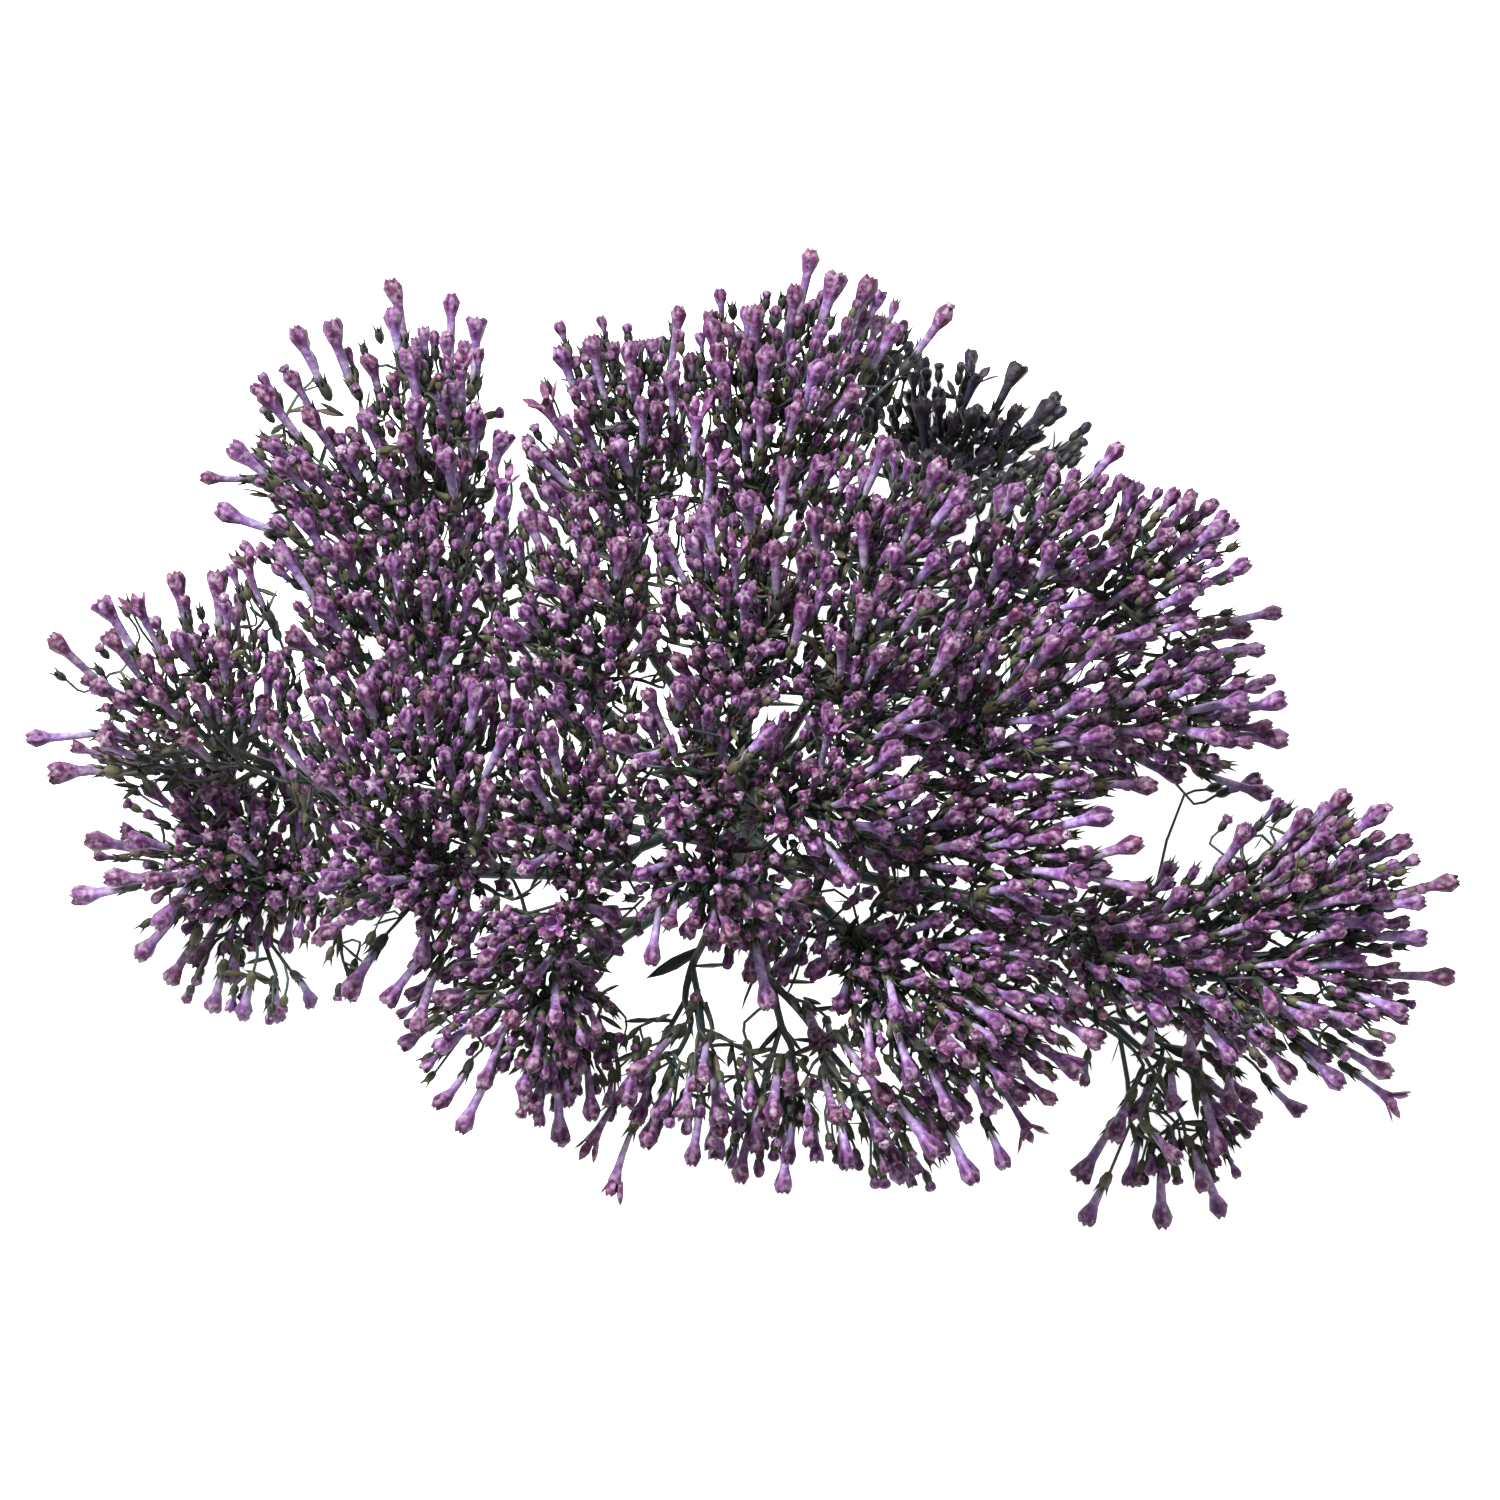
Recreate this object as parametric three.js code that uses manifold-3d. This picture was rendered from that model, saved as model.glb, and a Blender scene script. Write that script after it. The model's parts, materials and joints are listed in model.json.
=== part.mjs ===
// A dried trachelium head, picked with a short stem and lying face up.
//
// The frame is in millimetres with +Z up. The origin is on the surface that the head lies on, below the
// middle of the head. +X runs along the head's long side, and the whole head leans towards +Y. A spray is
// one branch of the head: its ray leaves the stem and forks again and again, and each last fork ends in a
// floret, a thin tube on a dark ovary that swells into a closed, club-shaped tip.

import * as THREE from "three";
import { mergeVertices } from "three/addons/utils/BufferGeometryUtils.js";
import Module from "manifold-3d";

const wasm = await Module();
wasm.setup();

// Driving dimensions of the florets
const floretLength = [7.2, 9.6]; // from the foot of the ovary to the tip
const ovaryRadius = 0.72;
const ovaryLength = 2.1;
const tubeRadius = 0.5; // where the tube begins to swell
const headRadius = 1.6; // the widest place of the closed tip
const headLength = 3.1; // from the end of the tube to the tip
const budReach = [4.0, 5.4]; // length of a young bud on its stalk
const budRadius = 0.9;
const buddingShare = 0.05; // how many florets carry a young bud
const spacing = 5.5; // between the tips in the middle of the head

// Driving dimensions of the stem and branches
const stemPath = [
  [-0.9, -17.2, -2.5],
  [-0.9, -15.2, 4],
  [-0.5, -11.0, 14],
  [0, -5.0, 24],
  [0.2, -1.6, 29.5],
];
const stemRadius = [2.1, 1.5]; // at the cut end and at the top
const twigRadius = 0.29; // a stalk that carries one floret
const twigGrowth = 0.34; // a stalk's radius grows with this power of the florets that it carries
const rootGap = 0.3; // clear space between the stem and a ray's foot
const clearance = 0.2; // kept between the solids of two sprays
const crowding = 0.3; // kept between the closed tips of one spray
const inner = 0.05; // kept between the other stalks of one spray
const leastLimb = 0.9; // the shortest stalk, apart from what lies inside the one that it leaves
const leastForward = 0.2; // how far a stalk turns from the way of the one that it leaves, as a cosine
const leastApart = 0.1; // between two stalks that leave one place, 5 mm along them at most
const leastHeight = 0.35; // of a floret's axis that lies on the surface, where it is pressed flat
const bractSize = { length: 6.5, width: 0.95, thickness: 0.46 };

// The sprays. root is where the ray leaves the stem, as a share of its length, fork is where the ray first
// divides, and seed sets how its limbs part. A patch is an oval dome of tips: middle and reach place it,
// crown is its height, fall is how much lower its rim lies, lean is the way that its florets tip over, up
// is how far they rise and droop how much less they do at its rim. edge lists the tips that stand out
// beyond it.
const sprays = [
  {
    name: "spray_centre", root: 1, fork: [0.9, -1.6, 35], seed: 118,
    patches: [
      { middle: [-4.2, -1.8], reach: [8.5, 8.5], crown: 52, fall: 2.5, lean: [0, 0.35], edge: [] },
      { middle: [10.8, -4.8], reach: [8.5, 6.5], crown: 51, fall: 2.5, lean: [0.3, 0.15], edge: [] },
    ],
  },
  {
    name: "spray_north", root: 0.96, fork: [0.5, 5, 28], seed: 117,
    patches: [
      { middle: [-0.2, 15.2], reach: [8, 8.5], crown: 49, fall: 2.5, lean: [0, 0.6], edge: [] },
      {
        middle: [3.8, 34.2], reach: [9.5, 11], crown: 37, fall: 6, lean: [0.15, 0.8],
        edge: [[-3.2, 42.2], [1.5, 43.6], [5.3, 45.7], [7, 49.4], [9.6, 47], [13, 46.7], [20.8, 43.7],
          [15.6, 41.6]],
      },
    ],
  },
  {
    name: "spray_east", root: 0.92, fork: [9, 2, 28], seed: 105,
    patches: [
      { middle: [14.8, 9.2], reach: [8, 8.5], crown: 49, fall: 2.5, lean: [0.35, 0.5], edge: [] },
      { middle: [29.8, 4.2], reach: [9, 9], crown: 43, fall: 4, lean: [0.6, 0.4], edge: [[41.4, -4.4]] },
    ],
  },
  {
    name: "spray_top_left", root: 0.88, fork: [-9, 9, 23], seed: 102,
    patches: [
      { middle: [-16.2, 14.2], reach: [8.5, 9], crown: 46, fall: 3, lean: [-0.15, 0.6], edge: [] },
      {
        middle: [-13.2, 32.2], reach: [8, 9.5], crown: 36.5, fall: 6, lean: [-0.2, 0.8],
        edge: [[-18.2, 39.2], [-15.2, 40.4], [-11.2, 39.9], [-6.2, 43.8], [-20.2, 34.6], [-21.4, 29.4]],
      },
    ],
  },
  {
    name: "spray_east_low", root: 0.84, fork: [12, -9, 27], seed: 103,
    patches: [
      {
        middle: [27.8, -11.8], reach: [10, 7], crown: 43, fall: 5, lean: [0.8, 0],
        edge: [[36.8, -7.2], [39.3, -9.6], [40.3, -15.3]],
      },
    ],
  },
  {
    name: "spray_west_low", root: 0.8, fork: [-9, -10, 26], seed: 100,
    patches: [
      { middle: [-18.2, -5.8], reach: [8.5, 8.5], crown: 47, fall: 3, lean: [-0.15, 0.35], edge: [] },
      { middle: [-20.2, -18.8], reach: [7.5, 5], crown: 42, fall: 4, lean: [-0.2, -0.1], edge: [] },
    ],
  },
  {
    name: "spray_north_east", root: 0.76, fork: [11, 11, 21], seed: 112,
    patches: [
      { middle: [15.8, 23.2], reach: [8.5, 7.5], crown: 43.5, fall: 4, lean: [0.4, 0.65], edge: [] },
      { middle: [30.8, 21.2], reach: [8, 8], crown: 38, fall: 5, lean: [0.5, 0.6], edge: [] },
    ],
  },
  {
    name: "spray_middle_front", root: 0.72, fork: [-1.4, -14.5, 28], seed: 105,
    patches: [
      {
        middle: [-2.2, -14.8], reach: [8.5, 5], crown: 48, fall: 4, lean: [0, -0.1],
        edge: [[2.8, -26.6], [-8.4, -22.6]],
      },
    ],
  },
  {
    name: "spray_west", root: 0.68, fork: [-17, -6, 20], seed: 106,
    patches: [
      { middle: [-34.2, 0.2], reach: [12, 9.5], crown: 43, fall: 5, lean: [-0.1, 0.65], edge: [] },
      {
        middle: [-35.2, -14.8], reach: [11, 6], crown: 36, fall: 6, lean: [-0.35, -0.1],
        edge: [[-39.7, -25.8], [-42.2, -19.6], [-32.7, -29.3], [-36.4, -26.0]],
      },
    ],
  },
  {
    name: "spray_south_east", root: 0.64, fork: [9, -17.5, 21], seed: 111,
    patches: [
      {
        middle: [21.8, -26.8], reach: [11, 10], crown: 41, fall: 6, lean: [0.45, -0.3],
        edge: [[35.8, -30.3], [33.8, -33], [31.3, -36], [28.8, -39.8], [25.8, -42.3], [20.8, -40.8],
          [23.3, -44.2]],
      },
    ],
  },
  {
    name: "spray_upper_left", root: 0.6, fork: [-18, 7, 15], seed: 108,
    patches: [
      { middle: [-35.2, 15.2], reach: [11, 8], crown: 37, fall: 5, lean: [-0.15, 0.7], edge: [] },
      {
        middle: [-36.7, 31.2], reach: [12.5, 11], crown: 31, fall: 7, lean: [-0.3, 0.8],
        edge: [[-35.4, 46.7], [-29.2, 45.2], [-26.7, 42.7], [-41.2, 42.4], [-45, 41.7], [-48.4, 35.6],
          [-51.4, 29.9], [-55, 25.6], [-53, 23.2], [-26.6, 33.4], [-23.7, 31.0]],
      },
    ],
  },
  {
    name: "spray_right", root: 0.56, fork: [26, 5, 15], seed: 101,
    patches: [
      {
        middle: [43.8, 17.2], reach: [7, 8], crown: 34, fall: 6, lean: [0.7, 0.5],
        edge: [[39.4, 26.2], [44.8, 24.2], [48.2, 21.8], [50.8, 18.0], [54.3, 13], [52.8, 9.6]],
      },
      {
        middle: [44.8, 3.2], reach: [8, 6.5], crown: 33, fall: 6, lean: [0.8, 0.15],
        edge: [[54.5, 4.3], [54.8, 0.2], [53.3, -5.3]],
      },
    ],
  },
  {
    name: "spray_far_left", root: 0.52, fork: [-33, -5, 13], seed: 126,
    patches: [
      {
        middle: [-57.7, 7.2], reach: [11.5, 8.5], crown: 33, fall: 6, lean: [-0.3, 0.55],
        edge: [[-56.9, 17], [-52.6, 17.2], [-64.2, 14.2], [-69.2, 10.7], [-63.4, 10.9], [-71.83, -0.3],
          [-69.7, -3.1]],
      },
    ],
  },
  {
    name: "spray_far_right", root: 0.48, fork: [32, -17.5, 13], seed: 117,
    patches: [
      {
        middle: [56.8, -13.8], reach: [11, 7.5], crown: 32, fall: 6, lean: [0.75, 0.35],
        edge: [[60.8, -5], [64.6, -6.6], [67, -9.6], [72, -13.8], [68.5, -16], [68.8, -19.6],
          [50.8, -8.3]],
      },
      {
        middle: [55.8, -26.8], reach: [11, 7.5], crown: 30, fall: 6, lean: [0.75, -0.25],
        edge: [[71.8, -23.6], [66.3, -27.6], [65.3, -33.4], [66.2, -36.6], [60.3, -34.6]],
      },
      { middle: [39.8, -22.8], reach: [7, 8], crown: 34, fall: 6, lean: [0.5, -0.15], edge: [] },
    ],
  },
  {
    name: "spray_front_left", root: 0.42, fork: [-11, -19, 17], seed: 100,
    patches: [
      {
        middle: [-21.2, -29.8], reach: [8.5, 8], crown: 37, fall: 7, lean: [-0.15, -0.5],
        edge: [[-28.4, -39.2], [-25.7, -34.8], [-21.2, -36.2], [-18, -40.1], [-15.2, -38.2],
          [-30.8, -30.8]],
      },
    ],
  },
  {
    name: "spray_front", root: 0.38, fork: [-5, -22.5, 19], seed: 104,
    patches: [
      {
        middle: [-5.2, -34.8], reach: [6.5, 5], crown: 34, fall: 6, lean: [-0.1, -0.7],
        edge: [[-13, -45.3], [-9.7, -40.8], [-15.7, -41.3], [-5.2, -41.8]],
      },
    ],
  },
  {
    name: "spray_front_right", root: 0.34, fork: [3, -24, 19], seed: 104,
    patches: [
      {
        middle: [9.8, -37.8], reach: [8.5, 4.5], crown: 33.5, fall: 5, lean: [0.2, -0.65],
        edge: [[-0.2, -44.3], [4.1, -45.3], [16.3, -44.3]],
      },
    ],
  },
  {
    name: "spray_lower_left", root: 0.3, fork: [-35, -13, 8], seed: 103,
    patches: [
      {
        middle: [-54.2, -10.8], reach: [12, 10], crown: 21, fall: 14, lean: [-0.2, 0.1], droop: 0.65,
        edge: [[-66.7, -9.8], [-68.2, -15.8], [-61.2, -22], [-58.7, -19.3], [-53.9, -27.3],
          [-47.2, -28.3], [-43.6, -26.6]],
      },
    ],
  },
  {
    name: "spray_lower_right", root: 0.22, fork: [30, -26, 7], seed: 115,
    patches: [
      {
        middle: [43.8, -37.8], reach: [7.5, 8], crown: 15, fall: 8, lean: [0.1, -0.5], droop: 0.65,
        edge: [[48.8, -48.3], [42.8, -49.4], [34.8, -48.6], [34.3, -44.4], [48.3, -42.3], [52.3, -38.8],
          [37.8, -39.8], [37.6, -34.3]],
      },
    ],
  },
  {
    name: "spray_low_back", root: 0.46, fork: [13, 13, 8], seed: 108,
    patches: [
      {
        middle: [23.3, 33.0], reach: [9.5, 6.5], crown: 12, fall: 8, lean: [0.2, 0.5], droop: 0.65,
        edge: [[18.3, 39.2], [24.3, 37.6], [28.4, 38.4], [31.8, 34.4], [34.3, 29.9]],
      },
    ],
  },
];
// Gaps between the sprays, where no tips are: middle and reach.
const gaps = [
  { middle: [-2.5, -24.5], reach: [11, 4.2] },
  { middle: [-36.2, -19.6], reach: [4, 2] },
  { middle: [39.8, -8.6], reach: [3.4, 4.2] },
  { middle: [-22.8, 31.5], reach: [1.6, 6] },
  { middle: [-49, 15.4], reach: [3, 2.2] },
];
const usualUp = 0.72; // how far florets rise, where a patch doesn't say
const usualDroop = 0.22; // how much less they rise at the rim, where a patch doesn't say
const spread = 0.5; // how far florets fan out round the middle of their patch

// A seeded draw between 0 and 1, the same on every run.
function makeDraw(seed) {
  let state = (seed * 7919) % 2147483647;
  return () => {
    state = (state * 16807) % 2147483647;
    return state / 2147483647;
  };
}

const between = ([low, high], share) => low + (high - low) * share;

const stalkRadius = (carried) => twigRadius * carried ** twigGrowth;

// The shortest distance between the segments a to b and c to d.
function segmentDistance(a, b, c, d) {
  const u = b.clone().sub(a);
  const v = d.clone().sub(c);
  const w = a.clone().sub(c);
  const uu = u.dot(u);
  const uv = u.dot(v);
  const vv = v.dot(v);
  const uw = u.dot(w);
  const vw = v.dot(w);
  const det = uu * vv - uv * uv;
  let s = det > 1e-9 ? Math.min(1, Math.max(0, (uv * vw - vv * uw) / det)) : 0;
  let t = vv > 1e-9 ? (uv * s + vw) / vv : 0;
  if (t < 0 || t > 1) {
    t = Math.min(1, Math.max(0, t));
    s = uu > 1e-9 ? Math.min(1, Math.max(0, (uv * t - uw) / uu)) : 0;
  }
  return w.addScaledVector(u, s).addScaledVector(v, -t).length();
}

const wayBetween = (from, to) => to.clone().sub(from).normalize();

const meanOf = (tips) =>
  tips.reduce((sum, tip) => sum.add(tip.p), new THREE.Vector3()).divideScalar(tips.length);

// Everything that has grown so far, as rounded rods.
const rods = [];

const rodsOf = (points, owner, tip = false) =>
  points.slice(1).map((end, i) => ({
    a: points[i].p,
    b: end.p,
    r: Math.max(points[i].r, end.r),
    owner,
    tip: tip && i === points.length - 2,
  }));

const meet = (p, q) => Math.abs(p.x - q.x) + Math.abs(p.y - q.y) + Math.abs(p.z - q.z) < 1e-6;

// Where a rod comes clear of the limb that it grows from, or its own start if the other is no such limb.
function pastJoint(rod, other) {
  if (segmentDistance(rod.a, rod.a, other.a, other.b) > 1.1 * (rod.r + other.r)) return rod.a;
  const share = (1.3 * other.r + rod.r) / (rod.a.distanceTo(rod.b) + 1e-6);
  return rod.a.clone().lerp(rod.b, Math.min(0.7, share));
}

// True if the rods keep clear of all others, apart from those that share the place where the first starts.
function isClear(wanted) {
  return wanted.every((rod, i) =>
    rods.every((other) => {
      const same = other.owner === rod.owner;
      if (same && i === 0 && (meet(rod.a, other.a) || meet(rod.a, other.b))) return true;
      const gap = !same ? clearance : rod.tip && other.tip ? crowding : inner;
      const start = same && i === 0 ? pastJoint(rod, other) : rod.a;
      return segmentDistance(start, rod.b, other.a, other.b) > rod.r + other.r + gap;
    }),
  );
}

// The points of a floret from its foot to its tip, with the radius of its section at each.
function floretPoints(foot, tip, size) {
  const way = tip.clone().sub(foot);
  const length = way.length();
  way.divideScalar(length);
  const at = (distance, r) => ({ p: foot.clone().addScaledVector(way, distance), r });
  return [
    at(0, twigRadius),
    at(ovaryLength * 0.6 * size, ovaryRadius * size),
    at(length - headLength * size, tubeRadius * size),
    at(length - headLength * 0.36 * size, headRadius * size),
    at(length, 0),
  ];
}

// A young bud's points: a thin stalk and a small round head.
function budPoints(foot, tip) {
  const at = (share, r) => ({ p: foot.clone().lerp(tip, share), r });
  return [at(0.5, twigRadius), at(0.78, budRadius), at(1, 0)];
}

// How far out a place lies in a patch, 0 at its middle and 1 at its rim.
function outOf(patch, x, y) {
  const [mx, my] = patch.middle;
  const [rx, ry] = patch.reach;
  return Math.hypot((x - mx) / rx, (y - my) / ry);
}

// A tip on a patch's dome, with the way that its floret points.
function tipOn(patch, x, y, rise) {
  const [mx, my] = patch.middle;
  const [rx, ry] = patch.reach;
  const out = Math.min(outOf(patch, x, y), 1.5);
  const fan = spread / Math.max(1, outOf(patch, x, y) / 1.5);
  const up = (patch.up ?? usualUp) - (patch.droop ?? usualDroop) * out * out;
  const way = new THREE.Vector3(
    patch.lean[0] + (fan * (x - mx)) / rx,
    patch.lean[1] + (fan * (y - my)) / ry,
    up,
  );
  const height = Math.max(leastHeight, patch.crown - patch.fall * out * out + rise);
  return { p: new THREE.Vector3(x, y, height), way: way.normalize() };
}

// The tips of all sprays: those at the edges, and an even spread over the patches and between them.
function placeTips() {
  const tips = sprays.map((spray) =>
    spray.patches.flatMap((patch) => patch.edge.map(([x, y]) => tipOn(patch, x, y, 0))),
  );
  const edges = tips.flat().map((tip) => tip.p);
  const draw = makeDraw(5);
  const rowStep = spacing * Math.sqrt(0.75);
  for (let row = 0; row * rowStep < 104; row++)
    for (let column = 0; column * spacing < 152; column++) {
      const x = -76 + (column + (row % 2) / 2) * spacing + (draw() - 0.5) * 2.6;
      const y = -52 + row * rowStep + (draw() - 0.5) * 2.6;
      const rise = (draw() - 0.5) * 3;
      const near = sprays
        .flatMap(({ patches }, owner) => patches.map((patch) => ({ out: outOf(patch, x, y), patch, owner })))
        .sort((one, other) => one.out - other.out);
      const [best, next, third] = near;
      if (best.out > 1 && next.out > 1.5 && third.out > 1.8) continue;
      if (gaps.some((gap) => outOf(gap, x, y) < 1)) continue;
      if (edges.some((p) => Math.hypot(p.x - x, p.y - y) < spacing * 0.6)) continue;
      tips[best.owner].push(tipOn(best.patch, x, y, rise));
    }
  return tips;
}

// Two halves of a set of tips, parted across its longest side, the larger half first.
function parted(tips, share) {
  const box = new THREE.Box3().setFromPoints(tips.map((tip) => tip.p));
  const side = box.getSize(new THREE.Vector3());
  const axis = side.x >= side.y && side.x >= side.z ? "x" : side.y >= side.z ? "y" : "z";
  const sorted = [...tips].sort((one, other) => one.p[axis] - other.p[axis]);
  const cut = Math.min(tips.length - 1, Math.max(1, Math.round(tips.length * share)));
  const halves = [sorted.slice(0, cut), sorted.slice(cut)];
  return halves[0].length >= halves[1].length ? halves : halves.reverse();
}

// Small shifts, nearest first, that bend a stalk or floret clear of what is in its way.
const shifts = [new THREE.Vector3()];
for (const far of [0.9, 1.8, 2.8, 4])
  for (let i = 0; i < 8; i++) {
    const angle = (i * Math.PI) / 4 + far;
    const lift = i % 2 ? 0.5 : -0.5;
    shifts.push(new THREE.Vector3(Math.cos(angle), Math.sin(angle), lift).multiplyScalar(far));
  }

function shifted(point, shift) {
  const moved = point.clone().add(shift);
  moved.z = Math.max(moved.z, leastHeight);
  return moved;
}

// Where the fork that carries a set of tips wants to be: below them, against the way that they point.
function forkBelow(tips) {
  const depth = between(floretLength, 0.5) + 1.2 + 2.2 * Math.log2(tips.length);
  const sum = new THREE.Vector3();
  for (const tip of tips) sum.add(tip.p).addScaledVector(tip.way, -depth);
  return sum.divideScalar(tips.length);
}

// Grows one spray past its ray. A limb is {points, limbs}: the points that it passes, and the two limbs
// that it then parts into, or none where it ends in a floret or a bud.
function growSpray(spray, owner, tips, ray) {
  const draw = makeDraw(spray.seed);

  function keep(points, tip) {
    const grown = rodsOf(points, owner, tip);
    if (!isClear(grown)) return false;
    rods.push(...grown);
    return true;
  }

  // True if a limb leaves its parent forwards, far enough, and well apart from its sibling.
  function partsWell(from, place, r) {
    const way = place.clone().sub(from.p);
    const length = way.length();
    way.divideScalar(length);
    if (length < leastLimb + 1.6 * from.r) return false;
    if (way.dot(from.way) < leastForward) return false;
    const { taken } = from;
    if (!taken) return true;
    return way.angleTo(taken.way) * Math.min(length, taken.length, 5) > leastApart + r + taken.r;
  }

  function growFloret(from, tip) {
    const size = 0.92 + 0.16 * draw();
    const wanted = between(floretLength, draw());
    const budding = draw() < buddingShare;
    const side = draw() * Math.PI * 2;
    const reach = between(budReach, draw());
    for (const shrink of [1, 0.8])
      for (const shift of shifts) {
        const end = shifted(tip.p, shift.clone().multiplyScalar(0.4));
        const base = shifted(end.clone().addScaledVector(tip.way, -wanted * shrink), shift);
        const knee = from.p.clone().lerp(base, 0.55);
        const way = wayBetween(from.p, base);
        if (!partsWell(from, knee, twigRadius) || way.dot(wayBetween(base, end)) < leastForward) continue;
        if (base.distanceTo(end) < (ovaryLength + headLength) * size) continue;
        const floret = floretPoints(base, end, size * (0.5 + 0.5 * shrink));
        if (!keep([{ p: from.p, r: twigRadius }, { p: knee, r: twigRadius }], false)) continue;
        if (!keep([{ p: knee, r: twigRadius }, ...floret], true)) {
          rods.pop();
          continue;
        }
        from.taken = { way, r: twigRadius, length: from.p.distanceTo(knee) };
        const limb = { points: floret, limbs: [] };
        const bud = budding && growBud({ p: knee, r: twigRadius, way }, side, reach);
        if (!bud) return limb;
        return { points: [{ p: knee, r: twigRadius * 1.1 }], limbs: [limb, bud] };
      }
    return null;
  }

  function growBud(from, side, reach) {
    const across = new THREE.Vector3(Math.cos(side), Math.sin(side), 0.2);
    across.addScaledVector(from.way, -across.dot(from.way)).normalize();
    const end = from.p.clone().addScaledVector(from.way, reach * 0.66).addScaledVector(across, reach * 0.75);
    end.z = Math.max(end.z, leastHeight);
    const bud = budPoints(from.p, end);
    return keep([{ p: from.p, r: twigRadius }, ...bud], true) ? { points: bud, limbs: [] } : null;
  }

  function growLimb(from, carried) {
    if (carried.length === 1) return growFloret(from, carried[0]);
    const r = stalkRadius(carried.length);
    const least = leastLimb + 1.6 * from.r + 0.2;
    const aim = forkBelow(carried);
    const reach = aim.distanceTo(from.p);
    const pace = carried.length > 2 ? 0.5 + 0.16 * draw() : 0.92;
    let way = wayBetween(from.p, aim);
    if (way.dot(from.way) < 0.5 || reach < least)
      way = wayBetween(from.p, meanOf(carried)).addScaledVector(from.way, 0.6).normalize();
    const tries = [1, 0.7, 0.45].flatMap((ease) => shifts.map((shift) => ({ ease, shift })));
    for (const { ease, shift } of tries) {
      const next = from.p.clone().addScaledVector(way, Math.max(least, reach * pace * ease));
      const place = { p: shifted(next, shift), r };
      if (!partsWell(from, place.p, r) || !keep([{ p: from.p, r }, place], false)) continue;
      const onward = wayBetween(from.p, place.p);
      const { taken } = from;
      from.taken = { way: onward, r, length: from.p.distanceTo(place.p) };
      const limbs = growFork({ p: place.p, r, way: onward }, carried);
      if (limbs.length) return { points: [place], limbs };
      from.taken = taken;
      rods.pop();
      return null;
    }
    return null;
  }

  // A limb that carries all of the tips, or as many of them as there is room for.
  function growMost(from, carried) {
    const limb = growLimb(from, carried);
    if (limb || carried.length === 1) return limb;
    const [more, fewer] = parted(carried, 0.5);
    return growMost(from, more) ?? growMost(from, fewer);
  }

  function growFork(from, carried) {
    const limbs = parted(carried, 0.4 + 0.2 * draw()).map((half) => growMost(from, half));
    return limbs.filter((limb) => limb);
  }

  const [before, last] = ray.slice(-2);
  return growFork({ ...last, way: wayBetween(before.p, last.p) }, tips);
}

// The stem's centre line.
const stemCurve = new THREE.CatmullRomCurve3(stemPath.map((p) => new THREE.Vector3(...p)));

// A spray's ray, bent gently from its foot just off the stem to its first fork.
function rayOf(spray, carried) {
  const centre = stemCurve.getPointAt(spray.root);
  const along = stemCurve.getTangentAt(spray.root);
  const end = new THREE.Vector3(...spray.fork);
  const radius = stalkRadius(carried);
  const out = end.clone().sub(centre);
  out.addScaledVector(along, -out.dot(along)).normalize();
  if (spray.root === 1) out.copy(along);
  const off = spray.root === 1 ? radius * 0.6 : between(stemRadius, spray.root);
  const foot = centre.addScaledVector(out, off + rootGap);
  const first = foot.clone().addScaledVector(out, 1.2);
  const reach = first.distanceTo(end);
  const lift = new THREE.Vector3(0, 0, 0.07 * reach);
  const path = new THREE.CatmullRomCurve3([
    foot,
    first,
    first.clone().lerp(end, 0.5).sub(lift),
    end,
  ]);
  return path.getPoints(6).map((p, i) => ({ p, r: radius * (1.15 - 0.15 * (i / 6)) }));
}

const carriedBy = (limb) => limb.limbs.reduce((sum, next) => sum + carriedBy(next), 0) || 1;

// How many sides a limb has: fewer on what carries few florets, and 3 on a young bud.
function sidesOf(limb, most) {
  if (carriedBy(limb) > 5) return Math.min(most, 6);
  return Math.min(most, limb.points.length < 4 && !limb.limbs.length ? 3 : 4);
}

// The way from a fork to the first of its two limbs, less the way to the second.
function apartAt(fork, limbs) {
  const [first, second] = limbs.map((limb) => wayBetween(fork, limb.points[0].p));
  return first.sub(second);
}

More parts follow.
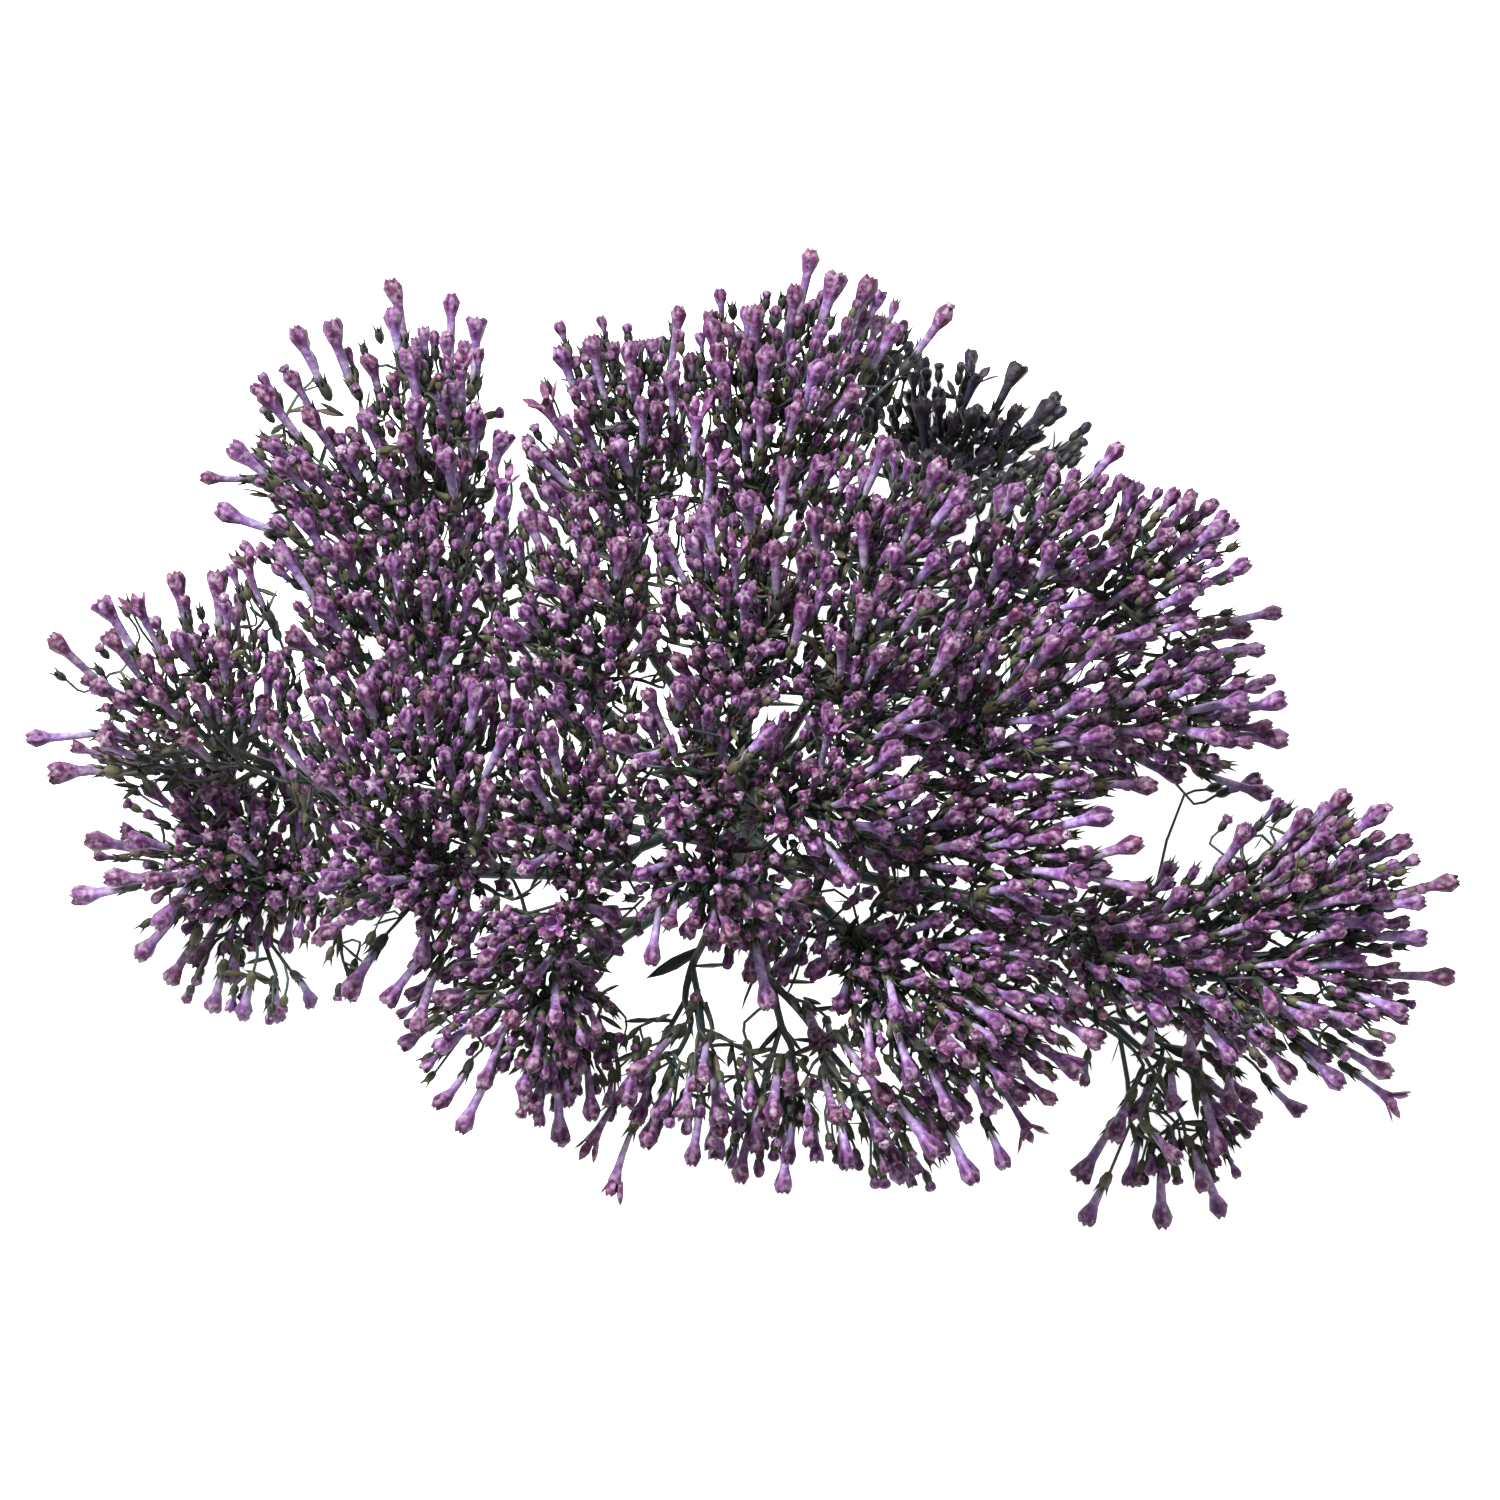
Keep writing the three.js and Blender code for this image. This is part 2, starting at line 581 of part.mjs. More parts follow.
// A closed skin over a limb and all that it parts into. Every ring of corners is bridged to the next, and
// where a limb parts, its ring is cut along a diagonal into the first rings of the two limbs.
function skin(limb, sides, squash = 1) {
  const corners = [];
  const index = [];

  const addCorner = (p) => corners.push(p) - 1;

  // A ring of corners round a place. Its first corner points along across.
  function ringAt({ p, r }, along, across, count) {
    const side = across.clone().addScaledVector(along, -across.dot(along)).normalize();
    const up = along.clone().cross(side);
    return Array.from({ length: count }, (_, j) => {
      const angle = (j / count) * Math.PI * 2;
      const corner = p.clone().addScaledVector(side, r * Math.cos(angle));
      return addCorner(corner.addScaledVector(up, r * squash * Math.sin(angle)));
    });
  }

  function middleOf(ring) {
    const sum = new THREE.Vector3();
    for (const corner of ring) sum.add(corners[corner]);
    return sum.divideScalar(ring.length);
  }

  // Bridges two rings of any number of corners with a band of triangles.
  function bridge(low, high) {
    const apart = middleOf(high).sub(middleOf(low));
    const gap = (i, j) => {
      const from = corners[low[i % low.length]].clone().add(apart);
      return from.distanceToSquared(corners[high[j % high.length]]);
    };
    const match = (i) => Math.round((i * high.length) / low.length);
    const slack = (start) => low.reduce((sum, _, i) => sum + gap(i, start + match(i)), 0);
    let start = 0;
    for (let j = 1; j < high.length; j++) if (slack(j) < slack(start)) start = j;
    let i = 0;
    let j = 0;
    while (i < low.length || j < high.length) {
      const a = low[i % low.length];
      const b = high[(start + j) % high.length];
      const nearer = j === high.length || gap(i + 1, start + j) < gap(i, start + j + 1);
      const stepLow = i < low.length && nearer;
      if (stepLow) i += 1;
      else j += 1;
      index.push(a, stepLow ? low[i % low.length] : high[(start + j) % high.length], b);
    }
  }

  // The ring at the i-th point of a limb, half turned into the way that leads on from it.
  function ringOn(piece, i, last, ring, count) {
    const point = piece.points[i];
    const out = new THREE.Vector3();
    if (i < piece.points.length - 1) out.copy(wayBetween(point.p, piece.points[i + 1].p));
    else for (const next of piece.limbs) out.add(wayBetween(point.p, next.points[0].p));
    const along = wayBetween(last, point.p).add(out.normalize()).normalize();
    let across = corners[ring[0]].clone().sub(last);
    if (across.lengthSq() < 1e-6) across = corners[ring[1]].clone().sub(last);
    if (i < piece.points.length - 1 || piece.limbs.length < 2) return ringAt(point, along, across, count);
    const apart = apartAt(point.p, piece.limbs);
    apart.addScaledVector(along, -apart.dot(along));
    if (apart.lengthSq() > 1e-6) across = apart.clone().cross(along);
    return ringAt(point, along, across, Math.max(4, count));
  }

  // Cuts a fork's ring into two loops and covers one limb from each.
  function part(ring, fork, limbs, count) {
    const half = ring.length / 2;
    const loops = [ring.slice(0, half + 1), [...ring.slice(half), ring[0]]];
    const apart = apartAt(fork, limbs);
    if (middleOf(loops[0]).sub(middleOf(loops[1])).dot(apart) < 0) loops.reverse();
    limbs.forEach((next, k) => cover(next, fork, loops[k], sidesOf(next, count)));
  }

  function cover(piece, from, firstRing, count) {
    let ring = firstRing;
    let last = from;
    for (const [i, point] of piece.points.entries()) {
      if (point.r === 0) {
        const tip = addCorner(point.p);
        ring.forEach((corner, j) => index.push(corner, ring[(j + 1) % ring.length], tip));
        return;
      }
      const next = ringOn(piece, i, last, ring, count);
      bridge(ring, next);
      ring = next;
      last = point.p;
    }
    if (piece.limbs.length === 2) part(ring, last, piece.limbs, count);
    else if (piece.limbs.length === 1) cover(piece.limbs[0], last, ring, sidesOf(piece.limbs[0], count));
    else for (let j = 1; j < ring.length - 1; j++) index.push(ring[0], ring[j], ring[j + 1]);
  }

  const [first, second] = limb.points;
  const along = wayBetween(first.p, second.p);
  const across = new THREE.Vector3(0, 0, 1).cross(along);
  const foot = ringAt(first, along, across, sides);
  for (let j = 1; j < sides - 1; j++) index.push(foot[0], foot[j + 1], foot[j]);
  cover({ points: limb.points.slice(1), limbs: limb.limbs }, first.p, foot, sides);
  const places = corners.flatMap((p) => [p.x, p.y, p.z]);
  const geometry = new THREE.BufferGeometry();
  geometry.setAttribute("position", new THREE.Float32BufferAttribute(places, 3));
  geometry.setIndex(index);
  return geometry;
}

// A narrow leaf blade below a spray's first fork, pointed at its end.
function bract(ray, owner) {
  const draw = makeDraw(owner + 301);
  const foot = ray[ray.length - 2].p;
  const { length, width, thickness } = bractSize;
  for (let turn = 0; turn < 12; turn++) {
    const angle = (draw() + turn / 12) * Math.PI * 2;
    const way = new THREE.Vector3(Math.cos(angle), Math.sin(angle), 0.55).normalize();
    const at = (share, r) => ({ p: foot.clone().addScaledVector(way, share * length), r });
    const points = [at(0, width * 0.55), at(0.45, width), at(1, 0)];
    points[1].p.z += 0.5;
    const grown = rodsOf(points, owner).slice(1);
    if (!isClear(grown)) continue;
    rods.push(...grown);
    return skin({ points, limbs: [] }, 4, thickness / width);
  }
  return null;
}

function solidOf(geometry) {
  const bare = geometry.clone();
  bare.deleteAttribute("normal");
  bare.deleteAttribute("uv");
  const merged = mergeVertices(bare, 1e-4);
  return new wasm.Manifold(
    new wasm.Mesh({
      numProp: 3,
      vertProperties: new Float32Array(merged.attributes.position.array),
      triVerts: new Uint32Array(merged.index.array),
    }),
  );
}

function geometryOf(solid) {
  const mesh = solid.getMesh();
  const geometry = new THREE.BufferGeometry();
  geometry.setAttribute("position", new THREE.BufferAttribute(mesh.vertProperties, 3));
  geometry.setIndex(new THREE.BufferAttribute(mesh.triVerts, 1));
  geometry.computeVertexNormals();
  return geometry;
}

// Everything below the surface, which flattens what is pressed on it.
const groundBox = new THREE.BoxGeometry(400, 400, 20);
groundBox.translate(0, 0, -10);
const ground = solidOf(groundBox);

const corollaFinish = new THREE.MeshStandardMaterial({ color: 0x6b3a78, roughness: 0.55, metalness: 0 });
const stemFinish = new THREE.MeshStandardMaterial({ color: 0x3c4a34, roughness: 0.7, metalness: 0 });

const head = new THREE.Group();

function addNode(name, solid, finish) {
  const mesh = new THREE.Mesh(geometryOf(solid.subtract(ground)), finish);
  mesh.name = name;
  head.add(mesh);
}

// The stem
const stemPoints = stemCurve.getSpacedPoints(7).map((p, i) => ({ p, r: between(stemRadius, i / 7) }));
rods.push(...rodsOf(stemPoints, -1));
addNode("stem", solidOf(skin({ points: stemPoints, limbs: [] }, 8)), stemFinish);

// The rays go in first, so that what grows later bends clear of them.
const tips = placeTips();
const rays = sprays.map((spray, owner) => rayOf(spray, tips[owner].length));
rays.forEach((ray, owner) => rods.push(...rodsOf(ray, owner)));

sprays.forEach((spray, owner) => {
  const leaf = bract(rays[owner], owner);
  const limbs = growSpray(spray, owner, tips[owner], rays[owner]);
  let solid = solidOf(skin({ points: rays[owner], limbs }, 6));
  if (leaf) solid = solid.add(solidOf(leaf));
  addNode(spray.name, solid, corollaFinish);
});

export default head;
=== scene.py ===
import json
import math
from functools import reduce

import bmesh
import bpy
import numpy as np
from mathutils import Matrix, Vector

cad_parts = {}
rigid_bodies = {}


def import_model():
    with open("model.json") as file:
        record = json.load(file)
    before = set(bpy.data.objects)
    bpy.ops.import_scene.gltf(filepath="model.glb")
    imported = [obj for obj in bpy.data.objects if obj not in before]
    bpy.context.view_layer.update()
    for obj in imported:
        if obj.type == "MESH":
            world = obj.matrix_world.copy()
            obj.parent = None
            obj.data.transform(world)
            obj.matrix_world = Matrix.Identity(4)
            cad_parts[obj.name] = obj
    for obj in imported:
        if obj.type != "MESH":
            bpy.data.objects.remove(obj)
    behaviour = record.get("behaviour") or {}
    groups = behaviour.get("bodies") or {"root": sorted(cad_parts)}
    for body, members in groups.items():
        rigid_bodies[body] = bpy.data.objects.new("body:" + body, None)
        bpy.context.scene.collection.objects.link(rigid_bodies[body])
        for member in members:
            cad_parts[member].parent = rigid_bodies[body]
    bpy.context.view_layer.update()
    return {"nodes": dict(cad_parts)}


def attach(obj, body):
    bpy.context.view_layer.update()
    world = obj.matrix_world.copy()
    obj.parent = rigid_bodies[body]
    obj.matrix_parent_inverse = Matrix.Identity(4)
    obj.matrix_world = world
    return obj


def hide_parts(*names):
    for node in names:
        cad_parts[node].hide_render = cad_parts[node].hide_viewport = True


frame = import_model()
print("frame loaded:", len(frame["nodes"]), "nodes")

mm = 0.001


# Camera, floor and light
cameraLook = {
    "middle": (0.8, -0.8),       # what the camera looks straight down on, in mm
    "height": 26,                # the height at which the picture is frameWidth wide
    "frameWidth": 150,
    "distance": 1500,
}
cameraData = bpy.data.cameras.new("camera")
cameraData.sensor_width = 36
cameraData.lens = 36 * cameraLook["distance"] / cameraLook["frameWidth"]
cameraData.clip_start = 0.1
cameraData.clip_end = 10
camera = bpy.data.objects.new("camera", cameraData)
camera.location = (
    cameraLook["middle"][0] * mm,
    cameraLook["middle"][1] * mm,
    (cameraLook["height"] + cameraLook["distance"]) * mm,
)
bpy.context.scene.collection.objects.link(camera)
bpy.context.scene.camera = camera
bpy.context.scene.view_settings.view_transform = "Standard"


def paint(red, green, blue):
    # a colour as it looks on screen, 0 to 255, turned into what the shaders take
    shares = [x / 255 for x in (red, green, blue)]
    return [x / 12.92 if x < 0.04045 else ((x + 0.055) / 1.055) ** 2.4 for x in shares] + [1]


lightLook = {
    # name: (place in m, width in m, watts)
    "key": ((-0.45, 0.7, 0.95), 0.26, 58),
    "top": ((0.1, 0.1, 1.3), 1.1, 8),
    "back": ((0.6, -0.7, 0.6), 0.7, 3),
}
for lightName, (place, width, watts) in lightLook.items():
    lightData = bpy.data.lights.new(lightName, "AREA")
    lightData.size = width
    lightData.energy = watts
    light = bpy.data.objects.new(lightName, lightData)
    light.location = place
    light.rotation_euler = (Vector((0, 0, 0.02)) - Vector(place)).to_track_quat("-Z", "Y").to_euler()
    bpy.context.scene.collection.objects.link(light)
world = bpy.data.worlds.new("studio")
world.use_nodes = True
world.node_tree.nodes["Background"].inputs["Color"].default_value = (1, 1, 1, 1)
world.node_tree.nodes["Background"].inputs["Strength"].default_value = 0.31
bpy.context.scene.world = world

bpy.ops.mesh.primitive_plane_add(size=6)
floor = bpy.context.object
floor.name = "floor"
floorPaint = bpy.data.materials.new("floorPaint")
floorPaint.use_nodes = True
floorShader = floorPaint.node_tree.nodes["Principled BSDF"]
floorShader.inputs["Base Color"].default_value = (0.9, 0.9, 0.9, 1)
floorShader.inputs["Roughness"].default_value = 0.9
floorShader.inputs["Emission Color"].default_value = (1, 1, 1, 1)
floorShader.inputs["Emission Strength"].default_value = 0.8
floor.data.materials.append(floorPaint)
print("camera, light and floor ready")


# How the head branches
# The same rule, sizes and draws as the solids, in mm, so that every floret stands where its solid does.
growth = {
    "floretLength": (7.2, 9.6),
    "ovaryRadius": 0.72,
    "ovaryLength": 2.1,
    "tubeRadius": 0.5,
    "headRadius": 1.6,
    "headLength": 3.1,
    "budReach": (4.0, 5.4),
    "budRadius": 0.9,
    "buddingShare": 0.05,
    "spacing": 5.5,
    "jitter": 2.6,
    "within": (1, 1.5, 1.8),      # how far out in the nearest patches a tip may be
    "rise": 3,
    "stemRadius": (2.1, 1.5),
    "twigRadius": 0.29,
    "twigGrowth": 0.34,
    "rootGap": 0.3,
    "clearance": 0.2,
    "crowding": 0.3,
    "inner": 0.05,
    "leastLimb": 0.9,
    "leastForward": 0.2,
    "leastApart": 0.1,
    "leastHeight": 0.35,
    "usualUp": 0.72,
    "usualDroop": 0.22,
    "spread": 0.5,
}
fieldSize = (152, 104)       # what the places of the tips are drawn on, round the origin
stemPath = [(-0.9, -17.2, -2.5), (-0.9, -15.2, 4), (-0.5, -11.0, 14), (0, -5.0, 24), (0.2, -1.6, 29.5)]


def patch(middle, reach, crown, fall, lean, edge=(), up=growth["usualUp"], droop=growth["usualDroop"]):
    # a rounded stretch of tips: its middle and reach seen from above, the height of its crown and how far it
    # falls to the rim, the way that its florets lean, and the single tips at the rim
    return {
        "middle": middle, "reach": reach, "crown": crown, "fall": fall,
        "lean": lean, "edge": edge, "up": up, "droop": droop,
    }


# name, share of the stem's length at its root, first fork, patches of tips, and the seed of its limbs
sprays = [
    ("centre", 1, (0.9, -1.6, 35), [
        patch((-4.2, -1.8), (8.5, 8.5), 52, 2.5, (0, 0.35)),
        patch((10.8, -4.8), (8.5, 6.5), 51, 2.5, (0.3, 0.15)),
    ], 118),
    ("north", 0.96, (0.5, 5, 28), [
        patch((-0.2, 15.2), (8, 8.5), 49, 2.5, (0, 0.6)),
        patch((3.8, 34.2), (9.5, 11), 37, 6, (0.15, 0.8), [
            (-3.2, 42.2), (1.5, 43.6), (5.3, 45.7), (7, 49.4), (9.6, 47), (13, 46.7), (20.8, 43.7),
            (15.6, 41.6),
        ]),
    ], 117),
    ("east", 0.92, (9, 2, 28), [
        patch((14.8, 9.2), (8, 8.5), 49, 2.5, (0.35, 0.5)),
        patch((29.8, 4.2), (9, 9), 43, 4, (0.6, 0.4), [(41.4, -4.4)]),
    ], 105),
    ("top_left", 0.88, (-9, 9, 23), [
        patch((-16.2, 14.2), (8.5, 9), 46, 3, (-0.15, 0.6)),
        patch((-13.2, 32.2), (8, 9.5), 36.5, 6, (-0.2, 0.8), [
            (-18.2, 39.2), (-15.2, 40.4), (-11.2, 39.9), (-6.2, 43.8), (-20.2, 34.6), (-21.4, 29.4),
        ]),
    ], 102),
    ("east_low", 0.84, (12, -9, 27), [
        patch((27.8, -11.8), (10, 7), 43, 5, (0.8, 0), [(36.8, -7.2), (39.3, -9.6), (40.3, -15.3)]),
    ], 103),
    ("west_low", 0.8, (-9, -10, 26), [
        patch((-18.2, -5.8), (8.5, 8.5), 47, 3, (-0.15, 0.35)),
        patch((-20.2, -18.8), (7.5, 5), 42, 4, (-0.2, -0.1)),
    ], 100),
    ("north_east", 0.76, (11, 11, 21), [
        patch((15.8, 23.2), (8.5, 7.5), 43.5, 4, (0.4, 0.65)),
        patch((30.8, 21.2), (8, 8), 38, 5, (0.5, 0.6)),
    ], 112),
    ("middle_front", 0.72, (-1.4, -14.5, 28), [
        patch((-2.2, -14.8), (8.5, 5), 48, 4, (0, -0.1), [(2.8, -26.6), (-8.4, -22.6)]),
    ], 105),
    ("west", 0.68, (-17, -6, 20), [
        patch((-34.2, 0.2), (12, 9.5), 43, 5, (-0.1, 0.65)),
        patch((-35.2, -14.8), (11, 6), 36, 6, (-0.35, -0.1), [
            (-39.7, -25.8), (-42.2, -19.6), (-32.7, -29.3), (-36.4, -26.0),
        ]),
    ], 106),
    ("south_east", 0.64, (9, -17.5, 21), [
        patch((21.8, -26.8), (11, 10), 41, 6, (0.45, -0.3), [
            (35.8, -30.3), (33.8, -33), (31.3, -36), (28.8, -39.8), (25.8, -42.3), (20.8, -40.8),
            (23.3, -44.2),
        ]),
    ], 111),
    ("upper_left", 0.6, (-18, 7, 15), [
        patch((-35.2, 15.2), (11, 8), 37, 5, (-0.15, 0.7)),
        patch((-36.7, 31.2), (12.5, 11), 31, 7, (-0.3, 0.8), [
            (-35.4, 46.7), (-29.2, 45.2), (-26.7, 42.7), (-41.2, 42.4), (-45, 41.7), (-48.4, 35.6),
            (-51.4, 29.9), (-55, 25.6), (-53, 23.2), (-26.6, 33.4), (-23.7, 31.0),
        ]),
    ], 108),
    ("right", 0.56, (26, 5, 15), [
        patch((43.8, 17.2), (7, 8), 34, 6, (0.7, 0.5), [
            (39.4, 26.2), (44.8, 24.2), (48.2, 21.8), (50.8, 18.0), (54.3, 13), (52.8, 9.6),
        ]),
        patch((44.8, 3.2), (8, 6.5), 33, 6, (0.8, 0.15), [(54.5, 4.3), (54.8, 0.2), (53.3, -5.3)]),
    ], 101),
    ("far_left", 0.52, (-33, -5, 13), [
        patch((-57.7, 7.2), (11.5, 8.5), 33, 6, (-0.3, 0.55), [
            (-56.9, 17), (-52.6, 17.2), (-64.2, 14.2), (-69.2, 10.7), (-63.4, 10.9), (-71.83, -0.3),
            (-69.7, -3.1),
        ]),
    ], 126),
    ("far_right", 0.48, (32, -17.5, 13), [
        patch((56.8, -13.8), (11, 7.5), 32, 6, (0.75, 0.35), [
            (60.8, -5), (64.6, -6.6), (67, -9.6), (72, -13.8), (68.5, -16), (68.8, -19.6),
            (50.8, -8.3),
        ]),
        patch((55.8, -26.8), (11, 7.5), 30, 6, (0.75, -0.25), [
            (71.8, -23.6), (66.3, -27.6), (65.3, -33.4), (66.2, -36.6), (60.3, -34.6),
        ]),
        patch((39.8, -22.8), (7, 8), 34, 6, (0.5, -0.15)),
    ], 117),
    ("front_left", 0.42, (-11, -19, 17), [
        patch((-21.2, -29.8), (8.5, 8), 37, 7, (-0.15, -0.5), [
            (-28.4, -39.2), (-25.7, -34.8), (-21.2, -36.2), (-18, -40.1), (-15.2, -38.2),
            (-30.8, -30.8),
        ]),
    ], 100),
    ("front", 0.38, (-5, -22.5, 19), [
        patch((-5.2, -34.8), (6.5, 5), 34, 6, (-0.1, -0.7), [
            (-13, -45.3), (-9.7, -40.8), (-15.7, -41.3), (-5.2, -41.8),
        ]),
    ], 104),
    ("front_right", 0.34, (3, -24, 19), [
        patch((9.8, -37.8), (8.5, 4.5), 33.5, 5, (0.2, -0.65), [
            (-0.2, -44.3), (4.1, -45.3), (16.3, -44.3),
        ]),
    ], 104),
    ("lower_left", 0.3, (-35, -13, 8), [
        patch((-54.2, -10.8), (12, 10), 21, 14, (-0.2, 0.1), [
            (-66.7, -9.8), (-68.2, -15.8), (-61.2, -22), (-58.7, -19.3), (-53.9, -27.3),
            (-47.2, -28.3), (-43.6, -26.6),
        ], droop=0.65),
    ], 103),
    ("lower_right", 0.22, (30, -26, 7), [
        patch((43.8, -37.8), (7.5, 8), 15, 8, (0.1, -0.5), [
            (48.8, -48.3), (42.8, -49.4), (34.8, -48.6), (34.3, -44.4), (48.3, -42.3), (52.3, -38.8),
            (37.8, -39.8), (37.6, -34.3),
        ], droop=0.65),
    ], 115),
    ("low_back", 0.46, (13, 13, 8), [
        patch((23.3, 33.0), (9.5, 6.5), 12, 8, (0.2, 0.5), [
            (18.3, 39.2), (24.3, 37.6), (28.4, 38.4), (31.8, 34.4), (34.3, 29.9),
        ], droop=0.65),
    ], 108),
]
# Gaps between the sprays, where no tips are: middle and reach.
gaps = [
    ((-2.5, -24.5), (11, 4.2)), ((-36.2, -19.6), (4, 2)), ((39.8, -8.6), (3.4, 4.2)),
    ((-22.8, 31.5), (1.6, 6)), ((-49, 15.4), (3, 2.2)),
]


def makeDraw(seed):
    # a seeded draw between 0 and 1
    state = [(seed * 7919) % 2147483647]

    def draw():
        state[0] = (state[0] * 16807) % 2147483647
        return state[0] / 2147483647
    return draw


def between(limits, share):
    return limits[0] + (limits[1] - limits[0]) * share


def stalkRadius(carried):
    return growth["twigRadius"] * carried ** growth["twigGrowth"]


def length(vector):
    return math.sqrt(float(vector @ vector))


def unit(vector):
    return vector / length(vector)


def wayBetween(start, end):
    return unit(end - start)


# Everything that has grown so far, as rounded rods.
rods = {
    "a": np.zeros((12000, 3)), "b": np.zeros((12000, 3)), "r": np.zeros(12000),
    "owner": np.zeros(12000, int), "tip": np.zeros(12000, bool), "count": 0,
}


def rodsOf(points, owner, tip=False):
    # points are (place, radius)
    made = []
    for i in range(len(points) - 1):
        (a, ra), (b, rb) = points[i], points[i + 1]
        made.append((a, b, max(ra, rb), owner, tip and i == len(points) - 2))
    return made


def addRods(made):
    for a, b, r, owner, tip in made:
        n = rods["count"]
        rods["a"][n], rods["b"][n], rods["r"][n], rods["owner"][n], rods["tip"][n] = a, b, r, owner, tip
        rods["count"] = n + 1


def segmentDistances(a, b, c, d):
    # the shortest distance from the segments a to b to the segments c to d
    u, v, w = b - a, d - c, a - c
    uu, uv, vv = (u * u).sum(-1), (u * v).sum(-1), (v * v).sum(-1)
    uw, vw = (u * w).sum(-1), (v * w).sum(-1)
    det = uu * vv - uv * uv
    skew = det > 1e-9
    s = np.where(skew, np.clip((uv * vw - vv * uw) / np.where(skew, det, 1), 0, 1), 0)
    t = np.where(vv > 1e-9, (uv * s + vw) / np.where(vv > 1e-9, vv, 1), 0)
    held = np.clip(t, 0, 1)
    again = np.where(uu > 1e-9, np.clip((uv * held - uw) / np.where(uu > 1e-9, uu, 1), 0, 1), 0)
    s = np.where(t != held, again, s)
    gap = w + u * s[..., None] - v * held[..., None]
    return np.sqrt((gap * gap).sum(-1))


def grownRods():
    return [rods[key][:rods["count"]] for key in ("a", "b", "r", "owner", "tip")]


def isClear(wanted):
    # true if the rods keep clear of all others, apart from those that share the place where the first starts
    allA, allB, allR, allOwners, allTipped = grownRods()
    middles = (allA + allB) / 2
    halves = np.sqrt(((allB - allA) ** 2).sum(-1)) / 2
    for i, (a, b, r, owner, tip) in enumerate(wanted):
        away = np.sqrt(((middles - (a + b) / 2) ** 2).sum(-1))
        near = away < halves + length(b - a) / 2 + allR + r + 0.5
        if not near.any():
            continue
        oa, ob, radii, same = allA[near], allB[near], allR[near], allOwners[near] == owner
        start = np.repeat(a[None], len(oa), 0)
        live = np.ones(len(oa), bool)
        if i == 0:
            meets = (np.abs(oa - a).sum(-1) < 1e-6) | (np.abs(ob - a).sum(-1) < 1e-6)
            live = ~(same & meets)
            close = segmentDistances(start, start, oa, ob) <= 1.1 * (r + radii)
            share = np.minimum(0.7, (1.3 * radii + r) / (length(b - a) + 1e-6))
            past = a + (b - a) * share[:, None]
            start = np.where((same & close)[:, None], past, start)
        both = allTipped[near] & tip
        gap = np.where(~same, growth["clearance"], np.where(both, growth["crowding"], growth["inner"]))
        apart = segmentDistances(start, np.repeat(b[None], len(oa), 0), oa, ob)
        if (live & (apart <= r + radii + gap)).any():
            return False
    return True


def floretPoints(foot, tip, size):
    way = tip - foot
    reach = length(way)
    way = way / reach
    return [
        (foot, growth["twigRadius"]),
        (foot + way * growth["ovaryLength"] * 0.6 * size, growth["ovaryRadius"] * size),
        (foot + way * (reach - growth["headLength"] * size), growth["tubeRadius"] * size),
        (foot + way * (reach - growth["headLength"] * 0.36 * size), growth["headRadius"] * size),
        (foot + way * reach, 0),
    ]


def outOf(part, x, y):
    # how far out a place lies in a patch, 0 at its middle and 1 at its rim
    return math.hypot((x - part["middle"][0]) / part["reach"][0], (y - part["middle"][1]) / part["reach"][1])


def tipOn(part, x, y, rise):
    (mx, my), (rx, ry) = part["middle"], part["reach"]
    out = min(outOf(part, x, y), 1.5)
    fan = growth["spread"] / max(1, outOf(part, x, y) / 1.5)
    way = np.array([
        part["lean"][0] + fan * (x - mx) / rx,
        part["lean"][1] + fan * (y - my) / ry,
        part["up"] - part["droop"] * out * out,
    ])
    height = max(growth["leastHeight"], part["crown"] - part["fall"] * out * out + rise)
    return {"p": np.array([x, y, height], float), "way": unit(way)}


def nearestPatches(x, y):
    # the three nearest patches: how far out the place lies, the spray and the patch
    found = [(outOf(part, x, y), owner, part) for owner, spray in enumerate(sprays) for part in spray[3]]
    return sorted(found, key=lambda one: one[0])[:3]


def isWithin(near, limits):
    return any(one[0] <= limit for one, limit in zip(near, limits))


def inGap(places, x, y):
    return any(math.hypot((x - mx) / rx, (y - my) / ry) < 1 for (mx, my), (rx, ry) in places)


def spreadPlaces(draw, spacing, jitter):
    # even rows of places over the whole field, each a little out of line
    rowStep = spacing * math.sqrt(0.75)
    for row in range(math.ceil(fieldSize[1] / rowStep)):
        for column in range(math.ceil(fieldSize[0] / spacing)):
            x = -fieldSize[0] / 2 + (column + (row % 2) / 2) * spacing + (draw() - 0.5) * jitter
            y = -fieldSize[1] / 2 + row * rowStep + (draw() - 0.5) * jitter
            yield x, y


def placeTips():
    tips = [[tipOn(part, x, y, 0) for part in spray[3] for x, y in part["edge"]] for spray in sprays]
    edges = np.array([tip["p"][:2] for group in tips for tip in group])
    draw = makeDraw(5)
    for x, y in spreadPlaces(draw, growth["spacing"], growth["jitter"]):
        rise = (draw() - 0.5) * growth["rise"]
        near = nearestPatches(x, y)
        if not isWithin(near, growth["within"]):
            continue
        apart = np.hypot(edges[:, 0] - x, edges[:, 1] - y)
        if inGap(gaps, x, y) or (apart < growth["spacing"] * 0.6).any():
            continue
        tips[near[0][1]].append(tipOn(near[0][2], x, y, rise))
    return tips


def parted(tips, share):
    # two halves of a set of tips, parted across its longest side, the larger half first
    places = np.array([tip["p"] for tip in tips])
    side = places.max(0) - places.min(0)
    axis = 0 if side[0] >= side[1] and side[0] >= side[2] else 1 if side[1] >= side[2] else 2
    ordered = sorted(tips, key=lambda tip: tip["p"][axis])
    cut = min(len(tips) - 1, max(1, math.floor(len(tips) * share + 0.5)))
    halves = [ordered[:cut], ordered[cut:]]
    return halves if len(halves[0]) >= len(halves[1]) else halves[::-1]


